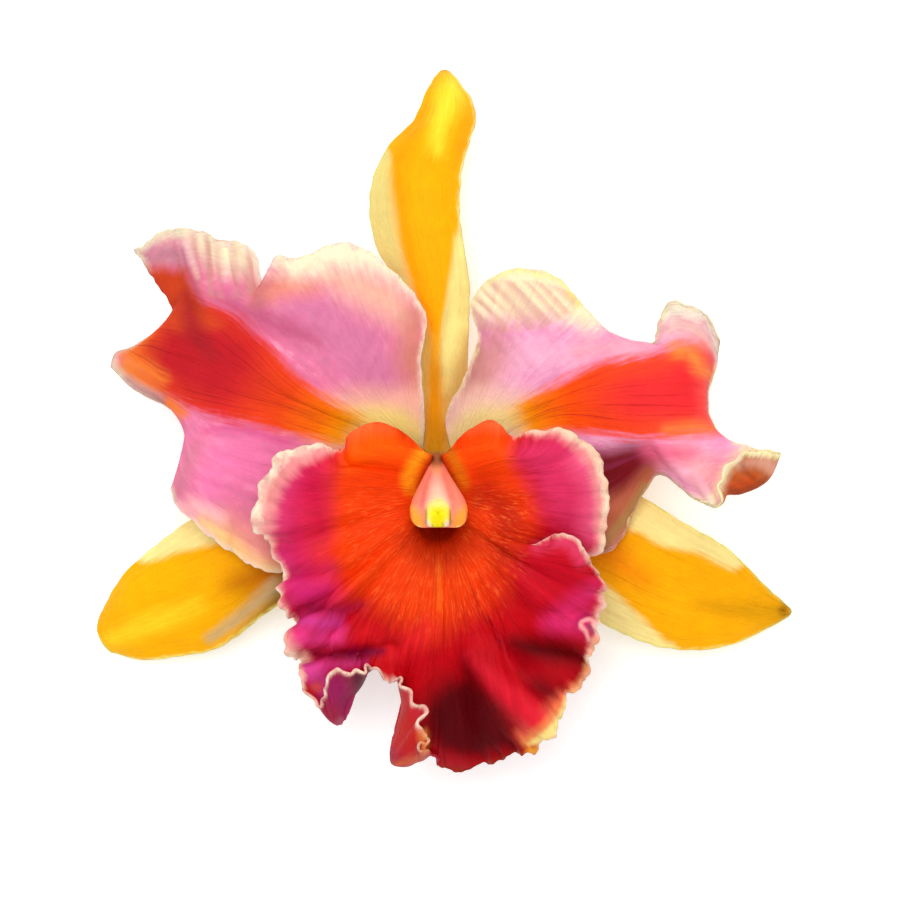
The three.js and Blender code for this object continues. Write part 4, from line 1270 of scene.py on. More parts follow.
LIP_VEINS = (
    Vein(0, (-2.2, -1.1, 27.4), (-2.3, -0.4, 28), 0, 0),
    Vein(1, (-6, 0.4, 30.2), (-6.6, 3.4, 31), 0.1, 0),
    Vein(2, (-12, 1.6, 34), (-11.8, 5.6, 34), 0.1, 0),
    Vein(3, (-16.4, -0.6, 36.6), (-16.8, 3.8, 35.4), 0.15, 0),
    Vein(4, (-18.4, -2.8, 34.8), (-19.6, 0.4, 32.2), 0.2, 0.2),
    Vein(5, (-22, -3.4, 37.6), (-24.2, 1, 35.6), 0.4, 1.4),
    Vein(6, (-26.6, -5.2, 38.4), (-31, -0.4, 35.2), 0.6, 2.7),
    Vein(7, (-29, -9.6, 37), (-35, -6.6, 32.8), 0.6, 2.6),
    Vein(8, (-29.6, -14.6, 36.4), (-36.6, -14.4, 33.8), 0.6, 2.2),
    Vein(9, (-28.2, -18.6, 33), (-33.6, -18.6, 28.4), 0.8, 0.8),
    Vein(10, (-26.6, -22.8, 33.6), (-31, -25.6, 29.6), 0.8, 0.6),
    Vein(11, (-26.4, -27.6, 37), (-31.4, -31.4, 34.8), 0.8, 0.6),
    Vein(12, (-24, -31, 33.4), (-27.6, -34.8, 27.6), 0.8, 0.4),
    Vein(13, (-25.2, -35, 36.6), (-30.2, -40.4, 35), 0.6, 1.5),
    Vein(14, (-22.8, -38.4, 31), (-27.6, -42, 29), 0.4, 0.8),
    Vein(15, (-22.6, -41.4, 31.6), (-27.8, -43.4, 32.4), 0.3, 0.5),
    Vein(15.3, (-22.6, -43.6, 31), (-27.4, -45.4, 33.8), 0.5, 0.5),
    Vein(15.6, (-22.4, -46.6, 29.6), (-26.4, -47.8, 33.8), 0.5, 0.4, (-21, -42.6, 31)),
    Vein(15.8, (-21.4, -50.4, 28.2), (-24.6, -50, 32.8), 0.4, 0.4, (-20, -43, 30.4)),
    Vein(16, (-19.8, -53.2, 27.3), (-23.2, -51.2, 32.8), 0.3, 0.4, (-18.8, -43.2, 30)),
    Vein(16.15, (-19, -54.2, 27.1), (-22.4, -49, 35.2), 0.8, 0.4, (-18.2, -43.2, 29.8)),
    Vein(16.3, (-18.4, -53, 27), (-22.2, -45.4, 37.6), 1, 0.45, (-17.6, -43, 29.6)),
    Vein(16.6, (-17.6, -50.4, 26.8), (-19.4, -44.6, 38), 1.1, 0.5, (-16.4, -42.6, 29.4)),
    Vein(17, (-15.6, -47, 27.2), (-15.6, -43.4, 36.4), 1, 0.5, (-14.8, -42, 29.4)),
    Vein(17.5, (-12.8, -43, 28.8), (-12.6, -43.8, 32), 0.7, 0.5),
    Vein(18, (-9.8, -42.6, 29.2), (-9.6, -46.4, 29.2), 0.6, 0.5),
    Vein(18.5, (-7.6, -45, 28.4), (-7.4, -45.6, 33.2), 0.9, 0.5, (-7.4, -43.6, 29)),
    Vein(19, (-6.6, -50.2, 27.4), (-6.2, -47.8, 35.8), 0.9, 0.5, (-6, -45.4, 28.8)),
    Vein(19.4, (-7.8, -55.2, 26), (-4.8, -50.6, 36.8), 1, 0.5, (-5, -47.6, 28.4)),
    Vein(19.8, (-8.9, -59.6, 25), (-2.8, -52.4, 37.4), 1, 0.5, (-4, -49.6, 28)),
    Vein(20.1, (-8.8, -62.2, 24.6), (-3.2, -54.8, 37), 1, 0.5, (-3.2, -51, 27.6)),
    Vein(20.4, (-6.4, -62.4, 24.2), (-1.6, -57.2, 36), 0.9, 0.45, (-2.4, -52, 27.2)),
    Vein(20.8, (-4, -61.2, 23.8), (-3, -58.8, 34), 0.8, 0.4, (-1.4, -52.6, 26.6)),
    Vein(21.2, (-1.8, -59.6, 23.4), (-1.6, -60.6, 30.4), 0.6, 0.1, (0, -52.8, 26)),
    Vein(22, (2.6, -55, 25.4), (3.4, -64.4, 21.4), 0.5, 0),
    Vein(23, (7.8, -55, 26.6), (10.6, -62.8, 22.8), 0.7, 0),
    Vein(24, (13.2, -52.6, 30.2), (17.4, -60.2, 28), 1, 0.1),
    Vein(24.35, (14.9, -52.2, 31.2), (19.5, -60.9, 28.8), 0.4, 0.3),
    Vein(24.65, (16.4, -51.2, 32.6), (20.9, -58.5, 30.6), 0.4, 0.3),
    Vein(25, (18.6, -50, 34.6), (23, -56.4, 32.8), 1.1, 0.5),
    Vein(26, (21.4, -44.6, 30.6), (26, -50.2, 27.2), 1, 0.45),
    Vein(27, (24.6, -39.8, 32), (29.8, -45, 30.2), 1, 0.45),
    Vein(28, (26, -34.4, 35.6), (31.8, -38.6, 33.8), 1, 0.6),
    Vein(29, (27.2, -28.8, 35.4), (33.2, -31, 31.8), 1, 0.6),
    Vein(30, (27, -24.4, 38.4), (32.6, -25.6, 35.6), 0.8, 0.45, (20, -23.6, 37.4)),
    Vein(30.4, (25.8, -22.2, 39.8), (29.4, -20.2, 40.4), 0.5, 0.35, (17, -21.2, 36.8)),
    Vein(30.8, (24.2, -20.2, 39.8), (26.8, -16.8, 40.6), 0.5, 0.35, (16.6, -20.6, 36.4)),
    Vein(31.1, (20.8, -19.8, 38), (22, -17.6, 38.4), 0.4, 0.3, (16.4, -20.2, 36)),
    Vein(31.4, (17.2, -20.2, 35.6), (18, -19.6, 35.4), 0.1, 0.2, (16.2, -19.8, 35.4)),
    Vein(31.7, (17.2, -19.8, 33.6), (19.2, -21, 31.4), 0.1, 0.2, (16.2, -19.3, 34.6)),
    Vein(32.2, (22.4, -18.6, 33), (26.6, -21.6, 29.4), 0.3, 0.5, (17, -18.4, 34.2)),
    Vein(32.7, (26.6, -17.6, 33.8), (33.2, -20.2, 29.2), 0.5, 1, (20, -17.4, 34.4)),
    Vein(33.3, (27.8, -13.6, 35.8), (33.6, -14.6, 31.8), 0.5, 1.4),
    Vein(34, (27.6, -8.6, 37), (34.2, -8.2, 33.2), 0.6, 1.7),
    Vein(35, (25.8, -3.6, 37.6), (31.8, -0.8, 34.6), 0.6, 1.6),
    Vein(36, (21.8, -0.6, 38.2), (25.8, 4, 36.2), 0.55, 1.1),
    Vein(37, (17.4, -0.8, 36.8), (19, 3.6, 34.8), 0.3, 0.5),
    Vein(38, (13.4, -1, 34.8), (14.6, 3, 32.6), 0.2, 0.1),
    Vein(39, (10.8, 1.6, 34.2), (10.8, 6, 34), 0.1, 0),
    Vein(40, (5.6, 0.4, 30.2), (5.8, 3.6, 30.8), 0.1, 0),
    Vein(41, (2, -1.1, 27.4), (2.1, -0.4, 28), 0, 0),
)
LIP_SKIN = Tissue(
    ground="#be0412",
    back="#a01a3c",
    hem="#f8e4c8",
    hem_tint="#efb4a4",
    blush="#ea8e8c",
    vein="#7c0a20",
    hair="#ff7a34",
    patches=(
        Patch("#ea3a02", (
            (-21, 0), (-18.5, 4), (-15, 6.5), (-8, 6.5), (-3, 0.5), (1.2, -0.5), (5, 6), (11, 7), (16, 5), (16.6, -3),
            (19.4, -11), (18, -17), (14, -22), (9.6, -29), (4, -34), (-1, -37), (-6, -35), (-11, -32), (-17.5, -28),
            (-22.5, -20), (-23, -10),
        ), 4.6, 1, 2.4),
        Patch("#ff5a02", ((-17, -1, 2.5), (-12, 1.5, 3), (-7, 0, 2)), 3),
        # A lighter coral band over the left hump's top: painted sheen.
        Patch("#ff6c34", ((-18, 2.4, 0.8), (-14.6, 4.6, 1.3), (-10, 4.6, 0.8)), 2.2, 0.85, 0.6),
        Patch("#f84c04", ((5, -1, 2), (9, 1.5, 2.6), (13, 0, 2)), 3),
        # The same painted sheen over the right hump.
        Patch("#fc6c38", ((6.4, 4.2, 0.6), (10, 5.4, 1), (13.6, 4.6, 1.1)), 2, 0.85, 0.6),
        Patch("#ec3c02", ((-4, -22, 2.6), (0, -28.6, 2.4)), 4.5, 0.8),
        Patch("#f02028", ((-14, -36.6, 1), (-9, -40, 1.6), (-2, -35.6, 1.8)), 3, 0.7),
        Patch("#b41a02", ((10, -8, 2.4), (14, -13, 3), (13, -20, 2.5)), 4, 0.95),
        Patch("#dc3004", ((10, -30, 1.8), (13, -27, 1.8)), 3.4, 0.8),
        Patch("#cf2256", (
            (-33.4, -3), (-28, 2), (-21.2, 1), (-23, -5), (-25, -13), (-24.4, -21), (-22, -30), (-19.8, -37),
            (-28.4, -38), (-32, -30), (-38, -18), (-38, -8),
        ), 4, 1, 2.8),
        Patch("#e4303c", ((-21.8, -3, 1.2), (-24, -12, 1.6), (-23, -22, 1.6), (-19.6, -30, 1.6)), 3.5, 0.6, 2),
        Patch("#e05088", ((-30, -4, 2), (-33, -9, 2), (-33, -14, 1.8)), 3.5, 0.75),
        Patch("#c80e40", ((-25, -5, 2), (-24, -11, 2.5), (-23, -16, 1.5)), 3.5, 0.85),
        Patch("#d42472", ((-31, -21, 1.4), (-27, -28, 2.2), (-22, -28, 1.4)), 3, 0.85, 1.6),
        # Dark bands in the grooves of the left lobe's folds, here and in the next line: painted shade.
        Patch("#b00c44", ((-29, -24.6, 0.8), (-21, -23.6, 1)), 2, 0.7),
        Patch("#980c44", ((-25, -31.6, 0.6), (-20, -32, 1), (-15, -31, 0.6)), 1.8, 0.8),
        Patch("#c83c94", ((-27, -34.2, 1), (-20, -34.6, 1.2)), 1.8, 0.75),
        Patch("#ea4090", ((-29, -37.6, 1), (-20, -37.4, 1.1)), 2.6, 0.85, 1.6),
        Patch("#cc3078", ((-26, -43.4, 1.2), (-20, -43, 1.3), (-14.6, -42.4, 0.8)), 1.2, 0.9),
        # Dark crimson in the valley between the two ruffles: painted shade.
        Patch("#780638", ((-25.4, -40.8, 0.4), (-20, -41, 0.8), (-15, -40.4, 1.3), (-11, -40.2, 0.8)), 1.3, 0.93),
        Patch("#e04a9c", ((-27.4, -43.6, 1.6), (-24, -45.6, 1.8), (-22.6, -50, 1)), 1.4, 0.9),
        Patch("#f0604c", ((-24.4, -47.4, 1),), 1, 0.8),
        Patch("#d22a58", (
            (15.8, -0.5), (20, 2.5), (28, 4.5), (35, -2), (37, -12), (34.5, -20), (30, -19), (26, -17), (22.6, -13.6),
            (19.6, -7),
        ), 3.4, 1, 2.6),
        Patch("#ec6088", ((29, -2, 2), (32, -8, 2.2), (31, -15, 2)), 3.5, 0.8),
        Patch("#c40820", ((17, -21), (24, -18.5), (29, -20), (33, -26), (31, -32), (24, -33), (18, -29)), 2.4, 0.95),
        Patch("#e04068", ((20, -19.4, 0.8), (26, -18.4, 1.2), (29, -22, 1.2)), 1.6, 0.8),
        Patch("#d6286a", ((29, -34, 3), (23, -34.5, 1.6), (31, -28, 1.6)), 3, 0.9),
        Patch("#a80412", (
            (12.8, -37), (20.6, -37.2), (28.2, -38), (32.2, -43.6), (30.6, -49), (24.6, -51.2), (21.6, -50),
            (16.6, -46), (13.6, -41),
        ), 2.6, 1, 2),
        # Near-black in the groove across the lower right: painted shade.
        Patch("#500307", ((15, -38.8, 0.7), (19, -39.6, 1.8), (27, -40.4, 1.6), (29.6, -42.4, 0.8)), 2.6, 0.95),
        # Dark in the small groove near the lower margin: painted shade.
        Patch("#62040c", ((20, -47.4, 1.2), (23.6, -49.4, 1.4)), 2.4, 0.85),
        # The lower middle's deep crimson is its own colour, deepened by painted shade.
        Patch("#520208", (
            (6.6, -41.6), (5, -45), (0.6, -47), (-2.4, -51), (-2.2, -57), (0.6, -60.4), (6.6, -62), (12.6, -61.4),
            (17.4, -59.4), (15.4, -54.4), (12.6, -50), (9.6, -46),
        ), 3.6, 0.97, 2.4),
        Patch("#f86e50", ((17.2, -56.6, 1), (21.6, -53.4, 1.4), (25.6, -48.8, 0.9)), 2, 0.85, 1.4),
        Patch("#a02858", (
            (-20.4, -54.6, 1.4), (-18.6, -52.4, 1.6), (-16.2, -47.8, 1.4), (-14.4, -45.6, 0.8),
        ), 0.7, 0.95),
        Patch("#a8222e", ((0.4, -62.6, 1.4), (6, -64.4, 1.6)), 2.4, 0.85),
        Patch("#dc1c30", ((6.6, -41, 0.4), (11.4, -46, 1.4), (15.8, -50.2, 2), (19.8, -54, 2.4)), 2, 0.95),
        # Dark red-brown under the column, in the throat: painted shadow.
        Patch("#a41e04", ((-6, -18, 1.4), (0.6, -20.6, 2.6), (7, -18, 1.4)), 4, 0.85, 1.6),
        Patch("#820a04", ((-4, -15.6, 0.6), (0.5, -16.6, 1.4), (5, -15.6, 0.6)), 2.8, 0.95, 1.4),
        Patch("#ff8c20", ((0.2, -22, 0.2), (0.4, -32, 0.1)), 0.9, 0.45),
        Patch("#f89c14", ((-2.4, 0.2, 1), (-4.6, -2.6, 1.3), (-5.8, -6, 1.3), (-5.4, -8.2, 0.8)), 1.5, 0.95, 0.3),
        Patch("#d0720c", ((2.4, 0.2, 0.9), (4.2, -3.2, 1.1), (5.4, -6.8, 1)), 1.5, 0.95, 0.3),
        # Dark lines beside the column, here and in the next two lines: painted shadow.
        Patch("#8a3804", ((-2.4, -2.6, 0.2), (-4, -7.6, 0.3)), 0.8, 0.6),
        Patch("#7a2806", ((2.4, -2.6, 0.2), (4.2, -7.8, 0.3)), 0.8, 0.6),
        Patch("#8c1c06", ((7.6, -8.6, 0.9), (8.2, -10.4, 1)), 1.8, 0.7),
    ),
    behind=(
        Patch("#9c1a5c", ((-20, -47.4, 2.6), (-18.4, -52, 1.4)), 2, 0.9),
        # Near-black on the curled flap's underside, which faces away from the light: painted shade.
        Patch("#3c0420", ((-15.6, -44, 1.6), (-15.8, -49, 1.2), (-17.4, -52.4, 0.6)), 2.2, 0.85),
        Patch("#b06078", ((-19.6, -54, 0.7),), 1, 0.8),
        Patch("#c2180f", ((-5, -50, 3), (-6, -58, 3)), 2.4, 0.95),
        Patch("#d83444", ((-5, -48, 0.8), (-3.4, -53, 1)), 1.8, 0.7),
        Patch("#d4642c", ((-8, -62.6, 0.4), (-4, -61.4, 0.8), (-1.6, -59, 0.8)), 1.2, 0.7),
    ),
    rim=(
        Patch("#e8843c", ((-2.6, -56.4, 0.8), (-2.4, -59.2, 1)), 1, 0.8),
        Patch("#f09450", ((18.2, -58.2, 1.2), (21.4, -55.6, 1), (23.6, -52.8, 0.9), (25.2, -50.2, 0.5)), 1.2, 0.8),
        Patch("#f6dc84", (
            (18.6, -58.5, 0.3), (20.2, -57.9, 0.7), (22.4, -56.4, 1), (24.8, -53.4, 0.9), (26.2, -50.2, 0.8),
            (26.6, -48.6, 0.4),
        ), 0.7, 0.95, 0.5),
        Patch("#ea9a30", ((18.6, -60.4, 0.9), (20, -60, 0.9)), 0.8, 0.95),
        Patch("#8a3014", ((1, -64, 0.8), (6, -64.6, 0.8), (12, -62.8, 0.8), (16.4, -60.6, 0.6)), 1.2, 0.8),
        Patch("#eca468", ((32, -37.4, 0.5), (31.4, -41, 0.8), (29, -46, 0.5), (26.6, -49, 0.6)), 1.2, 0.85, 0.9),
        Patch("#f4c8a0", (
            (15.6, 3.6, 0.3), (19, 4.4, 0.7), (23, 4.8, 0.9), (27.6, 3.2, 0.9), (31.4, 0, 0.8), (34, -6, 0.7),
            (34.4, -12, 0.5), (33.4, -19, 0.4),
        ), 1.5, 0.8, 1),
        # Dark above the small curl at the margin: painted shade.
        Patch("#8c1040", ((27.7, -35.2, 0.4), (28.8, -33.4, 0.5), (31, -33, 0.4)), 0.9, 0.6),
        Patch("#94385c", ((30.2, -35.2, 0.5), (31, -36.6, 0.4)), 0.5, 0.9, 0.1),
        Patch("#f8b0ac", (
            (30.4, -37.8, 0.25), (29.7, -36.3, 0.25), (28.5, -35.1, 0.3), (29.2, -34.2, 0.3), (30.8, -34, 0.3),
            (31.8, -35.2, 0.3), (32.2, -37.4, 0.25),
        ), 0.4, 0.95, 0.1),
    ),
    vein_strength=0.12,
    vein_period=0.9,
    roughness=0.48,
    relief=0.06,
    hem_soft=1.1,
    hem_ragged=2.0,
    mottle=0.1,
    streaks=0.5,
)


@dataclass
class Lip(Organ):
    """The lip, a fan of veins that rises from the ovary round the throat and spreads to a frilled edge."""

    # The blush inside the margin as a band, the column at the throat, and a vein's width, in mm.
    BLUSH_BAND, THROAT_COLUMN, TURN_WIDTH = (2.2, 4.0, (0.2, 0.6)), 2.0, 3.0
    # Between which distances down the lip veins and hairs start, in mm.
    VEINED_DOWN, HAIRS_DOWN = (6.0, 24.0), (4.0, 12.0)
    # Between which distances out of the throat hairs start and end, in mm, and how clear they are.
    HAIRS_START, HAIRS_END, HAIRINESS = (-1.0, 2.0), (11.0, 19.0), 0.45

    @staticmethod
    def crowding(column: Grid) -> Grid:
        """How densely the lip is stepped across at a column, against 1 at its root."""
        return 1.0 + 1.6 * ease(column, 3.5, 5.6)

    @staticmethod
    def control_rows() -> Grid:
        """One row for each vein: root, throat wall, throat, two points of the arch, bend and end."""
        first = math.pi / 2 + OPEN_SECTOR
        step = (2 * math.pi - 2 * OPEN_SECTOR) / LAST_VEIN
        rows = []
        for vein in LIP_VEINS:
            cos, sin = math.cos(first + vein.turn * step), math.sin(first + vein.turn * step)
            back = (1 + sin) / 2
            root = np.array([LIP_ROOT["rx"] * cos, LIP_ROOT["y"] + LIP_ROOT["ry"] * sin, LIP_ROOT["z"]])
            wide = THROAT["rx"] + (THROAT["rx_back"] - THROAT["rx"]) * back
            level = THROAT["bottom"] + (THROAT["top"] - THROAT["bottom"]) * back
            throat = np.array([wide * cos, THROAT["y"] + THROAT["ry"] * sin, level])
            wall = root + (throat - root) * np.array(THROAT_BULGE)
            rise = np.array([0, 0, ARCH["front"] + (ARCH["back"] - ARCH["front"]) * back])
            aim = np.array(vein.aim or vein.bend)
            arch = [throat + (aim - throat) * share + rise for share in ARCH["shares"]]
            rows.append([root, wall, throat, *arch, vein.bend, vein.end])
        return np.array(rows, float)

    def lay(self) -> Grid:
        """Coordinates that follow the veins: along each vein, and round the fan."""
        turns = spline(np.array([vein.turn for vein in LIP_VEINS], float), self.along)
        turn = np.broadcast_to(turns[:, None] * self.TURN_WIDTH, self.walk.shape)
        return np.stack([self.walk, turn, np.zeros_like(turn)], axis=2)

    def masks(self, points: Grid) -> dict[str, Grid]:
        """The organ's masks, the band of blush, and the short streaks round the throat."""
        found = super().masks(points)
        found["blush"] = self.band(*self.BLUSH_BAND)
        out, down = self.walk - self.reached(self.THROAT_COLUMN), -points[..., 1]
        found["veined"] = found["veined"] * ease(down, *self.VEINED_DOWN)
        ring = ease(out, *self.HAIRS_START) * (1 - ease(out, *self.HAIRS_END))
        found["hairy"] = ring * ease(down, *self.HAIRS_DOWN) * self.HAIRINESS
        return found


LIP_FOLDS = (
    Fold(1.6, 2.6, ((7, -40), (11.4, -46), (15.8, -50.4), (20, -54))),
    Fold(-1.8, 3.0, ((12, -37.6), (20, -40.4), (29, -43))),
    Fold(-1.8, 1.6, ((-26, -40.8), (-17, -41.0), (-9, -39.6))),
    Fold(1.3, 1.9, ((-29, -37.6), (-16, -38))),
    Fold(-0.9, 1.4, ((-29, -31.6), (-16, -31.6))),
    Fold(0.7, 1.6, ((-28, -34.4), (-19, -34.6))),
    Fold(-1.0, 1.6, ((-30, -24.6), (-20, -23.8))),
    Fold(0.8, 2.0, ((-30, -27.6), (-20, -27.0))),
    Fold(-1.2, 2.0, ((22, -32.6), (31, -33.4))),
    Fold(-1.2, 3.4, ((3, -46), (6, -60))),
    Fold(-0.9, 2.2, ((18, -46.6), (24, -49.6))),
    Fold(0.5, 0.7, ((0.4, -22), (0.6, -38))),
    Fold(-0.5, 1.4, ((-19.6, 2), (-19.4, -5))),
    Fold(-0.5, 1.4, ((15.6, 3), (16, -5))),
)


# ------------------------------------------------------------------ column
COLUMN_SKIN = Tissue(
    ground="#fb8a70",
    back="#fb8a70",
    hem="#fb8a70",
    vein="#f06a5c",
    patches=(
        Patch("#fda898", ((-0.2, -4, 0.7), (0, -8, 1.4), (0.2, -11, 2.2)), 1, 0.95, 0.1),
        Patch("#fdd0b0", ((0, -8, 0.9), (0.2, -10.8, 1.8)), 1.4, 0.85, 0.1),
        Patch("#f0985c", ((-0.2, -2.8, 1), (-0.1, -4, 0.9)), 1, 0.8, 0.1),
        Patch("#ee6468", ((-1.3, -4.6, 0.15), (-2.5, -8, 0.3), (-3, -11, 0.35)), 0.6, 0.8, 0.1),
        Patch("#ee6a68", ((1.4, -5, 0.15), (2.4, -8, 0.25), (3.2, -11, 0.3)), 0.6, 0.6, 0.1),
        Patch("#fba634", ((-5.2, -11.4, 0.5), (-4.2, -13.8, 1.3), (-3.6, -15.4, 0.9)), 1, 0.95, 0.1),
        Patch("#fba034", ((5.8, -11.4, 0.5), (4.7, -13.8, 1.3), (4.1, -15.4, 0.9)), 1, 0.95, 0.1),
        Patch("#f8e26c", ((-0.9, -11.6, 0.6), (0.2, -10.6, 0.9), (1.3, -11.6, 0.6)), 1.2, 0.85, 0.1),
        # Brown at the column's foot, under the dorsal sepal's foot: painted shade.
        Patch("#9c5c38", ((-0.1, -0.2, 1.8), (-0.1, -2, 1.3)), 0.9, 0.9, 0.1),
        Patch("#fbe4b0", ((-3.7, -15.6, 0.4),), 0.4, 0.9, 0.1),
        Patch("#fbe4b0", ((4.4, -15.6, 0.4),), 0.4, 0.9, 0.1),
    ),
    vein_strength=0.05,
    roughness=0.4,
    mottle=0.06,
    relief=0.02,
    glow=0.12,
)
CAP_SKIN = Tissue(
    ground="#fbe820",
    back="#fbe820",
    hem="#fbe820",
    vein="#f0c818",
    patches=(
        Patch("#fbdf88", ((-2.4, -11, 0.5), (0.2, -10.4, 1), (2.6, -11, 0.5)), 1.2, 0.95, 0.1),
        Patch("#f7e98c", ((-2.2, -11.6, 0.5), (-2.1, -13.4, 0.6)), 0.8, 0.8, 0.1),
        Patch("#f2d860", ((2.4, -12, 0.4), (2.4, -13.4, 0.5)), 0.8, 0.8, 0.1),
        Patch("#fbf2d0", ((-2, -14.4, 0.5), (-1.8, -15.4, 0.8)), 0.6, 0.95, 0.1),
        Patch("#fbe6d0", ((2.1, -14.4, 0.4), (2.1, -15.4, 0.7)), 0.6, 0.95, 0.1),
        Patch("#f6e004", ((0.3, -12.2, 0.8), (0.2, -14.2, 0.6)), 0.8, 0.9, 0.1),
        Patch("#8c4c20", ((-2.15, -11.8, 0.1), (-2.2, -15.6, 0.2)), 0.35, 0.85, 0.05),
        Patch("#8c4420", ((2.65, -11.8, 0.1), (2.7, -15.6, 0.25)), 0.35, 0.9, 0.05),
        Patch("#a8742c", ((-0.9, -14.8, 0.05), (-0.8, -15.7, 0.12)), 0.25, 0.8, 0.05),
        Patch("#9c5c2c", ((1.1, -14.6, 0.1), (1.3, -15.7, 0.15)), 0.25, 0.8, 0.05),
    ),
    vein_strength=0.05,
    roughness=0.32,
    mottle=0.04,
    relief=0.02,
    glow=0.15,
)
STALK_SKIN = Tissue(
    ground="#93ab4c",
    back="#93ab4c",
    hem="#93ab4c",
    vein="#6f8a34",
    patches=(
        Patch("#b9b45c", ((0, -3.5, 5), (0, -9, 3)), 3, 0.8),
        # Dark brown round the ovary's top, seen through the gaps beside the column: painted shade.
        Patch("#7c3c14", ((0, -3.4, 3.2),), 0.6, 0.95),
        Patch("#7c6a38", ((4.6, -51, 1.2),), 1.6, 0.8),
    ),
    vein_strength=0.3,
    vein_period=0.8,
    roughness=0.45,
    mottle=0.12,
    relief=0.05,
)


# How wide the pattern is round a solid piece, in mm.
ROUND_WIDTH = 20.0


def dressed(mesh: bpy.types.Mesh, skin: Tissue, points: Grid, lay: Grid) -> None:
    """Gives a solid piece the masks that its skin reads.

    Args:
        mesh: The piece's mesh.
        skin: Its finish.
        points: Its vertices in plan mm.
        lay: Its coordinates along and round, in mm.
    """
    for name, distance in patch_masks(skin, points):
        put_numbers(mesh, name, distance)
    for name, value in (("hem", -FAR), ("veined", 1.0), ("side", 1.0)):
        put_numbers(mesh, name, np.full(len(points), value))
    put_vectors(mesh, "lay", lay)


def loft(name: str, rings: Grid, skin: Tissue) -> bpy.types.Mesh:
    """A closed tube through rings of points, with a rounded point at each end.

    Args:
        name: The piece's name.
        rings: Points in plan mm, shaped (rings, points, 3).
        skin: Its finish.
    """
    along, around = rings.shape[:2]
    place = np.arange(along * around).reshape(along, around)
    ahead = np.roll(place, -1, axis=1)
    faces = np.stack([place[:-1], ahead[:-1], ahead[1:], place[1:]], axis=2).reshape(-1, 4).tolist()
    for hub, row in enumerate((0, -1)):
        centre = along * around + hub
        for here, there in zip(place[row].tolist(), ahead[row].tolist()):
            faces.append([there, here, centre] if row == 0 else [here, there, centre])
    points = np.concatenate([rings.reshape(-1, 3), [rings[0].mean(0), rings[-1].mean(0)]])
    mesh = bpy.data.meshes.new(name)
    mesh.from_pydata(((points + PLAN_TO_ROW) * MM).tolist(), [], faces)
    mesh.polygons.foreach_set("use_smooth", np.ones(len(faces), bool))
    mesh.update()
    turn = ROUND_WIDTH * np.abs((np.arange(around) / around + 0.25) % 1.0 - 0.5)
    turn = np.broadcast_to(turn[None, :], (along, around))
    centres = rings.mean(1)
    run = np.concatenate([[0.0], np.cumsum(np.linalg.norm(np.diff(centres, axis=0), axis=1))])
    lay = np.stack([np.broadcast_to(run[:, None], turn.shape), turn, np.zeros(turn.shape)], axis=2).reshape(-1, 3)
    dressed(mesh, skin, points, np.concatenate([lay, [[0, 0, 0], [run[-1], 0, 0]]]))
    mesh.materials.append(skin.material(name))
    return mesh


@dataclass
class Column:
    """The column that arches over the throat, with a wing on each side of the anther cap.

    Attributes:
        rings: Each ring's centre, half width, half depth, and how far its sides are pinched to wings.
        steps: Points along and round.
    """

    # How strong its grooves, pinch, ridge, taper and hollow are, as shares of its size.
    GROOVE, PINCH, RIDGE, TAPER, HOLLOW = 0.09, 0.35, 0.14, 0.24, 0.1

    rings: tuple[tuple[Point, float, float, float], ...] = (
        ((0.0, -2.2, 17.6), 1.7, 1.5, 0.0),
        ((0.0, -2.4, 21.0), 1.6, 1.7, 0.0),
        ((0.0, -3.8, 26.0), 1.9, 2.0, 0.0),
        ((0.0, -5.4, 30.0), 2.6, 2.2, 0.1),
        ((0.1, -7.2, 34.0), 3.6, 2.5, 0.3),
        ((0.2, -9.0, 37.6), 4.6, 2.7, 0.5),
        ((0.3, -10.6, 40.4), 5.4, 2.9, 0.7),
        ((0.35, -12.0, 42.6), 5.75, 3.1, 0.85),
        ((0.4, -12.7, 44.2), 5.6, 3.0, 1.0),
        ((0.4, -12.9, 45.2), 5.1, 2.7, 1.0),
        ((0.4, -13.0, 45.6), 3.6, 1.7, 1.0),
    )
    steps: tuple[int, int] = (110, 88)

    def build(self) -> None:
        """Makes the column as a closed loft, with a ridge and two grooves up its front."""
        t = np.linspace(0, len(self.rings) - 1, self.steps[0])
        centres = spline(np.array([r[0] for r in self.rings], float), t)
        sizes = spline(np.array([r[1:] for r in self.rings], float), t)
        tangent = np.gradient(centres, axis=0)
        tangent /= np.linalg.norm(tangent, axis=1, keepdims=True)
        side = np.tile([1.0, 0.0, 0.0], (len(t), 1))
        side -= tangent * (side * tangent).sum(1, keepdims=True)
        side /= np.linalg.norm(side, axis=1, keepdims=True)
        up = np.cross(tangent, side)
        angle = np.linspace(0, 2 * math.pi, self.steps[1], endpoint=False)[None, :]
        cos, sin = np.cos(angle), np.sin(angle)
        front, back = sin > 0, sin < 0
        wide, deep, wing = sizes[:, 0:1], sizes[:, 1:2], sizes[:, 2:3]
        grooves = self.GROOVE * wing * (bell(cos - 0.5, 0.1) + bell(cos + 0.5, 0.1))
        pinch = 1 - self.PINCH * wing * np.abs(cos) ** 3 * front
        ridge = 1 + self.RIDGE * bell(cos, 0.3) * front
        taper = 1 - self.TAPER * wing * back * np.abs(sin)
        hollow = 1 - self.HOLLOW * wing * bell(cos, 0.5) * back
        sideways = wide * power(cos, 1 - np.where(back, 0.6, 0.35) * wing) * taper
        depth = deep * power(sin, 1 - np.where(back, 0.65, 0.25) * wing)
        depth = depth * pinch * ridge * hollow * (1 - grooves * front)
        rings = centres[:, None] + side[:, None] * sideways[..., None] + up[:, None] * depth[..., None]
        seated(loft("column_flesh", rings, COLUMN_SKIN), "column", "column")


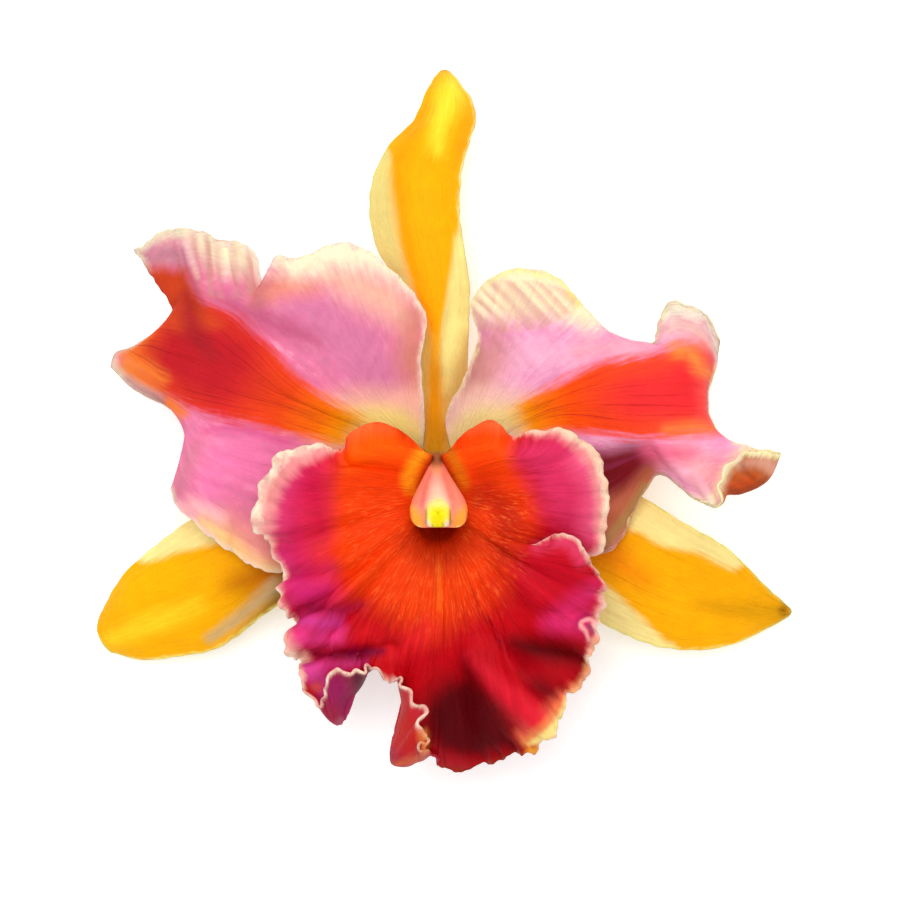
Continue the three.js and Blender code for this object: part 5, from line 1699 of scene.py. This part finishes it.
@dataclass
class AntherCap:
    """The anther cap at the column's tip, a rounded helmet with a crease on each side of its middle."""

    # How far short of the poles its rings end, in radians, and how far from the middle the creases are.
    POLE, CREASE = 0.03, 0.42

    centre: tuple[float, float, float] = (0.25, -12.6, 45.0)
    half: tuple[float, float, float] = (2.6, 2.8, 2.6)
    steps: tuple[int, int] = (40, 56)

    def build(self) -> None:
        """Makes the cap as a closed form."""
        down, around = self.steps
        angle = np.linspace(0, 2 * math.pi, around, endpoint=False)[None, :]
        fall = np.linspace(self.POLE, math.pi - self.POLE, down)[:, None]
        cos, sin = np.cos(angle), np.sin(angle)
        radius = np.sin(fall) ** 0.8
        x = power(cos, np.where(sin < 0, 0.5, 0.75)) * radius
        y = power(sin, np.where(sin < 0, 0.35, 1.0)) * radius
        crease = 0.1 * (bell(x - self.CREASE, 0.1) + bell(x + self.CREASE, 0.1))
        brow = ease(-y, 0.0, 0.9)
        z = np.cos(fall) * (1 - crease * (0.4 + 0.8 * brow)) - 0.12 * brow * np.maximum(np.cos(fall), 0)
        points = np.stack([x, y, z], axis=2) * np.array(self.half) + np.array(self.centre)
        seated(loft("anther_helmet", points[::-1], CAP_SKIN), "anther_cap", "anther_cap")


# ------------------------------------------------------------------ ovary and stalk
@dataclass
class Stalk:
    """The ribbed ovary under the organs and the cut stalk that lies on the table.

    Attributes:
        line: Points of its middle, in plan mm.
        sizes: Its radius at each, in mm.
        swell: How ribbed it is at each, from 0 to 1.
        ribs: How many ribs the ovary has.
        depth: The depth of the grooves between them, as a share of the radius.
        steps: Points along and round.
    """

    # How wide the pattern is round it, in mm.
    ROUND = 18.0

    line: tuple[Point, ...] = (
        (4.5, -51, 2.34), (3.4, -43.5, 2.36), (2.2, -35.7, 2.4), (1.2, -28.4, 2.5), (0.4, -21.4, 2.8),
        (0.1, -15.6, 3.4), (0, -10.9, 5.2), (0, -7.4, 7.8), (0, -5.1, 11), (0, -3.7, 14), (0, -3.3, 16.4),
        (0, -3.2, 18.4),
    )
    sizes: tuple[float, ...] = (2.26, 2.22, 2.25, 2.3, 2.4, 2.7, 3.2, 3.6, 3.8, 3.8, 3.5, 2.2)
    swell: tuple[float, ...] = (0.1, 0.1, 0.1, 0.15, 0.2, 0.5, 0.9, 1.0, 1.0, 1.0, 0.8, 0.3)
    ribs: int = 6
    depth: float = 0.14
    steps: tuple[int, int] = (200, 72)

    def _path(self) -> bpy.types.Object:
        """The stalk's middle line as a string of edges that carry its radius and ribs."""
        t = np.linspace(0, len(self.line) - 1, self.steps[0])
        points = (spline(np.array(self.line, float), t) + PLAN_TO_ROW) * MM
        mesh = bpy.data.meshes.new("stalk_path")
        mesh.from_pydata(points.tolist(), [(k, k + 1) for k in range(len(t) - 1)], [])
        put_numbers(mesh, "size", spline(np.array(self.sizes, float), t) * MM)
        put_numbers(mesh, "swell", spline(np.array(self.swell, float), t))
        return linked("stalk_path", mesh)

    def _tree(self, material: bpy.types.Material) -> bpy.types.NodeTree:
        """Nodes that sweep a ribbed ring along the line."""
        tree = bpy.data.node_groups.new("ribbed_stalk", "GeometryNodeTree")
        for name, way, kind in (
            ("Geometry", "INPUT", "Geometry"),
            ("Ribs", "INPUT", "Float"),
            ("Groove depth", "INPUT", "Float"),
            ("Points round", "INPUT", "Int"),
            ("Geometry", "OUTPUT", "Geometry"),
        ):
            tree.interface.new_socket(name, in_out=way, socket_type=f"NodeSocket{kind}")
        g = Graph(tree)
        given = tree.nodes.new("NodeGroupInput")
        line, ribs, depth, around = (Value(g, socket) for socket in given.outputs[:4])
        number = {"data_type": "FLOAT"}
        size, swell, turn = (
            g.node("GeometryNodeInputNamedAttribute", number, {"Name": name}) for name in ("size", "swell", "turn")
        )
        curve = g.node("GeometryNodeMeshToCurve", None, {0: line})
        ring = g.node("GeometryNodeCurvePrimitiveCircle", {"mode": "RADIUS"}, {"Resolution": around, "Radius": 1.0})
        share = g.node("GeometryNodeSplineParameter", output="Factor")
        stored = {"data_type": "FLOAT", "domain": "POINT"}
        ring = g.node("GeometryNodeStoreNamedAttribute", stored, {0: ring, "Name": "turn", "Value": share})
        tube = g.node("GeometryNodeCurveToMesh", None, {0: curve, 1: ring, "Scale": size, "Fill Caps": True})
        groove = (1.0 - (turn * ribs * (2 * math.pi)).cosine()) * 0.5 * depth * swell * size
        facing = g.node("GeometryNodeInputNormal")
        push = g.node("ShaderNodeVectorMath", {"operation": "SCALE"}, {0: facing, "Scale": groove * -1.0})
        tube = g.node("GeometryNodeSetPosition", None, {0: tube, "Offset": push})
        tube = g.node("GeometryNodeSetShadeSmooth", None, {0: tube, "Shade Smooth": True})
        tube = g.node("GeometryNodeRealizeInstances", None, {0: tube})
        tube = g.node("GeometryNodeSetMaterial", None, {0: tube, "Material": material})
        end = tree.nodes.new("NodeGroupOutput")
        tree.links.new(tube.socket, end.inputs[0])
        return tree

    def build(self) -> None:
        """Makes the ovary and stalk as one closed piece."""
        path = self._path()
        tree = self._tree(STALK_SKIN.material("stalk_flesh"))
        sweep = path.modifiers.new("sweep", "NODES")
        sweep.node_group = tree
        sockets = {item.name: item.identifier for item in tree.interface.items_tree if item.in_out == "INPUT"}
        sweep[sockets["Ribs"]] = float(self.ribs)
        sweep[sockets["Groove depth"]] = self.depth
        sweep[sockets["Points round"]] = self.steps[1]
        graph = bpy.context.evaluated_depsgraph_get()
        mesh = bpy.data.meshes.new_from_object(path.evaluated_get(graph))
        mesh.name = "stalk_flesh"
        bpy.data.objects.remove(path)
        count = len(mesh.vertices)
        places, turn = np.zeros(count * 3, np.float32), np.zeros(count, np.float32)
        mesh.vertices.foreach_get("co", places)
        mesh.attributes["turn"].data.foreach_get("value", turn)
        points = places.reshape(-1, 3) / MM - PLAN_TO_ROW
        lay = np.stack([points[:, 2] - points[:, 1], turn * self.ROUND, np.zeros(count)], axis=1)
        dressed(mesh, STALK_SKIN, points, lay)
        seated(mesh, "stalk", "ovary_stalk")


# ------------------------------------------------------------------ stage
@dataclass
class Studio:
    """The pale table, the lights and the camera.

    Attributes:
        aim: What the camera looks at, in mm in the row's frame.
        view_width: How much it sees there, in mm.
        lens: Its focal length, in mm.
        sensor: Its sensor's width, in mm.
        table: Half the table's width, in m.
        lamps: Each lamp's place in m, its size in m and its power in W, by name.
    """

    # What the lamps aim at and the camera's furthest view, in m.
    LAMPS_AIM, FURTHEST = (0.0, 0.0, 0.02), 60.0
    WHITE = (1.0, 1.0, 1.0, 1.0)

    aim: tuple[float, float, float] = (1.2, -6.1, 28.0)
    view_width: float = 180.0
    lens: float = 800.0
    sensor: float = 36.0
    table: float = 12.0
    lamps: tuple[tuple[str, Point, float, float], ...] = (
        ("key", (-0.18, 0.22, 1.3), 0.6, 7.0),
        ("fill", (0.5, -0.3, 1.1), 0.9, 2.0),
        ("crown", (0.0, 0.8, 0.75), 0.6, 2.6),
    )

    def build(self) -> None:
        """Sets the whole stage."""
        scene = bpy.context.scene
        scene.view_settings.view_transform = "Standard"
        scene.view_settings.look = "None"
        scene.view_settings.exposure = 0.0
        self._camera()
        self._table()
        self._lights()

    def _camera(self) -> None:
        """A long lens straight above the flower."""
        data = bpy.data.cameras.new("camera")
        data.lens, data.sensor_width = self.lens, self.sensor
        data.clip_end = self.FURTHEST
        camera = linked("camera", data)
        height = self.aim[2] + self.view_width * self.lens / self.sensor
        camera.location = (self.aim[0] * MM, self.aim[1] * MM, height * MM)
        bpy.context.scene.camera = camera

    def _table(self) -> None:
        """A plain pale table top under the flower."""
        mesh = bpy.data.meshes.new("table")
        corners = [(x * self.table, y * self.table, 0) for x, y in ((-1, -1), (1, -1), (1, 1), (-1, 1))]
        mesh.from_pydata(corners, [], [(0, 1, 2, 3)])
        made = bpy.data.materials.new("table")
        made.use_nodes = True
        g = Graph(made.node_tree)
        paper = g.noise(g.node("ShaderNodeTexCoord", output="Object"), 60.0, 3.0)
        g.surface(
            {
                "Base Color": g.over(linear("#fbfbfb"), linear("#f4f4f4"), paper),
                "Roughness": 0.8,
                "Specular IOR Level": 0.2,
                "Emission Color": self.WHITE,
                "Emission Strength": 0.34,
            }
        )
        mesh.materials.append(made)
        linked("table", mesh)

    def _lights(self) -> None:
        """Soft light from all round, and a large soft lamp high on the left."""
        world = bpy.data.worlds.new("studio")
        world.use_nodes = True
        g = Graph(world.node_tree)
        back = g.node("ShaderNodeBackground", None, {"Color": self.WHITE, "Strength": 0.62})
        g.node("ShaderNodeOutputWorld", None, {"Surface": back})
        bpy.context.scene.world = world
        for name, place, size, watts in self.lamps:
            data = bpy.data.lights.new(name, "AREA")
            data.size, data.energy = size, watts
            lamp = linked(name, data)
            lamp.location = place
            aim = np.array(self.LAMPS_AIM) - np.array(place)
            tilt = math.acos(-aim[2] / np.linalg.norm(aim))
            lamp.rotation_euler = (tilt, 0.0, math.atan2(aim[1], aim[0]) - math.pi / 2)


# ------------------------------------------------------------------ the flower
SEPAL_FRILLS = (Frill(0.3, 16.0, 9.0, 3), Frill(0.12, 5.0, 4.0, 5), Frill(0.1, 4.2, 1.2, 7, within=True))
PETAL_FRILLS = (
    Frill(0.8, 13.0, 9.0, 11),
    Frill(0.4, 5.0, 3.6, 12),
    Frill(0.35, 5.6, 1.6, 14, within=True),
    Frill(0.2, 2.4, 1.0, 15, within=True),
)
LIP_FRILLS = (
    Frill(0.8, 9.0, 7.0, 21),
    Frill(0.95, 4.2, 3.2, 22),
    Frill(0.45, 4.0, 1.5, 24, within=True),
    Frill(0.26, 1.9, 0.9, 25, within=True),
    Frill(0.9, 8.0, 2.6, 26, within=True),
)
LEFT_PETAL_FOLDS = (
    Pleats(0.45, 2.7, 4.0, ((-50, 45), (-52, 36), (-48, 33), (-40, 31), (-35, 33), (-35, 46)), 3.0, 31),
    Pleats(0.13, 3.0, 150.0, ((-30, 40), (-34, 30), (-24, 16), (-10, 10), (-4, 20), (-4, 34), (-14, 42)), 4.0, 32),
    Pleats(0.25, 3.4, 60.0, ((-50, 2), (-30, 2), (-16, -4), (-16, -22), (-34, -26), (-50, -14)), 4.0, 33),
    Fold(0.8, 1.6, ((-50.6, 41), (-48.6, 34), (-46.4, 29))),
    Fold(-0.8, 2.0, ((-53, 38), (-50.6, 32), (-49, 28))),
)
RIGHT_PETAL_FOLDS = (
    Pleats(0.3, 2.3, 43.0, ((4, 38), (6, 27), (12, 22), (22, 22), (30, 24), (28, 40)), 3.0, 35),
    Pleats(0.1, 2.8, 30.0, ((9, 26), (10, 14), (20, 13), (32, 18), (30, 26)), 4.0, 36),
    Pleats(0.3, 3.4, 40.0, ((42, 2), (58, 2), (60, -8), (54, -12), (44, -8)), 3.0, 37),
)


def organs() -> list[Organ]:
    """The six blades of the flower."""
    sepal = {"slot": "sepal", "frills": SEPAL_FRILLS, "thick": (1.3, 0.6)}
    lateral = {**sepal, "steps": (260, 96), "liveliness": ([0.5] + [1] * 7,) * 2}
    petal = {"slot": "petal", "frills": PETAL_FRILLS, "thick": (1.0, 0.45), "steps": (210, 225)}
    return [
        Organ(
            "sepal_dorsal", "dorsal_sepal", DORSAL_ROWS, DORSAL_SKIN, steps=(300, 64),
            liveliness=([0.4] * 3 + [1] * 9,) * 2, hem=([0] * 12, [0] * 5 + [0.3] * 7), **sepal,
        ),
        Organ("sepal_left", "left_sepal", LEFT_SEPAL_ROWS, LEFT_SEPAL_SKIN, hem=([0] * 8, [0.3] * 8), **lateral),
        Organ("sepal_right", "right_sepal", RIGHT_SEPAL_ROWS, RIGHT_SEPAL_SKIN, hem=([0.3] * 8,) * 2, **lateral),
        Petal(
            "petal_left", "left_petal", LEFT_PETAL_ROWS, LEFT_PETAL_SKIN, folds=LEFT_PETAL_FOLDS,
            liveliness=(
                [0.1, 0.2, 0.3, 0.4] + [0.6] * 3 + [0.4] * 2 + [0.8] * 5,
                [0.1, 0.3, 0.6] + [0.8] * 8 + [0.5, 0.25, 0.15],
            ),
            hem=([0.2, 0.5, 0.6, 0.7, 0.8] + [0.9] * 9, [0, 0, 0.3, 0.4, 0.6, 0.6] + [0.5] * 8), **petal,
        ),
        Petal(
            "petal_right", "right_petal", RIGHT_PETAL_ROWS, RIGHT_PETAL_SKIN, folds=RIGHT_PETAL_FOLDS,
            liveliness=(
                [0.1, 0.2, 0.3, 0.3] + [0.4] * 3 + [0.6] * 3 + [1.2] * 4 + [0.8, 0.3],
                [0.1, 0.3] + [0.5] * 5 + [0.25] * 4 + [1.1] * 4 + [0.8],
            ),
            hem=([0, 0.2, 0.3, 0.4, 0.6, 0.9, 0.9, 0.6] + [0.4] * 8, [0, 0] + [0.3] * 7 + [0.5] + [0.8] * 6), **petal,
        ),
        Lip(
            "lip_blade", "lip", Lip.control_rows(), LIP_SKIN, "lip", (1030, 46), LIP_FRILLS,
            liveliness=([0] * len(LIP_VEINS), [vein.frill for vein in LIP_VEINS]),
            hem=([0] * len(LIP_VEINS), [vein.hem for vein in LIP_VEINS]),
            thick=(0.95, 0.5), edges=(Edge.LAST,), folds=LIP_FOLDS,
            crowd=(None, Lip.crowding),
        ),
    ]


def main() -> None:
    """Builds the flower round its frame."""
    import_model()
    Studio().build()
    for organ in organs():
        organ.build()
    for part in (Column(), AntherCap(), Stalk()):
        part.build()


if __name__ == "__main__":
    logging.basicConfig(level=logging.INFO, format="%(name)s: %(message)s")
    main()
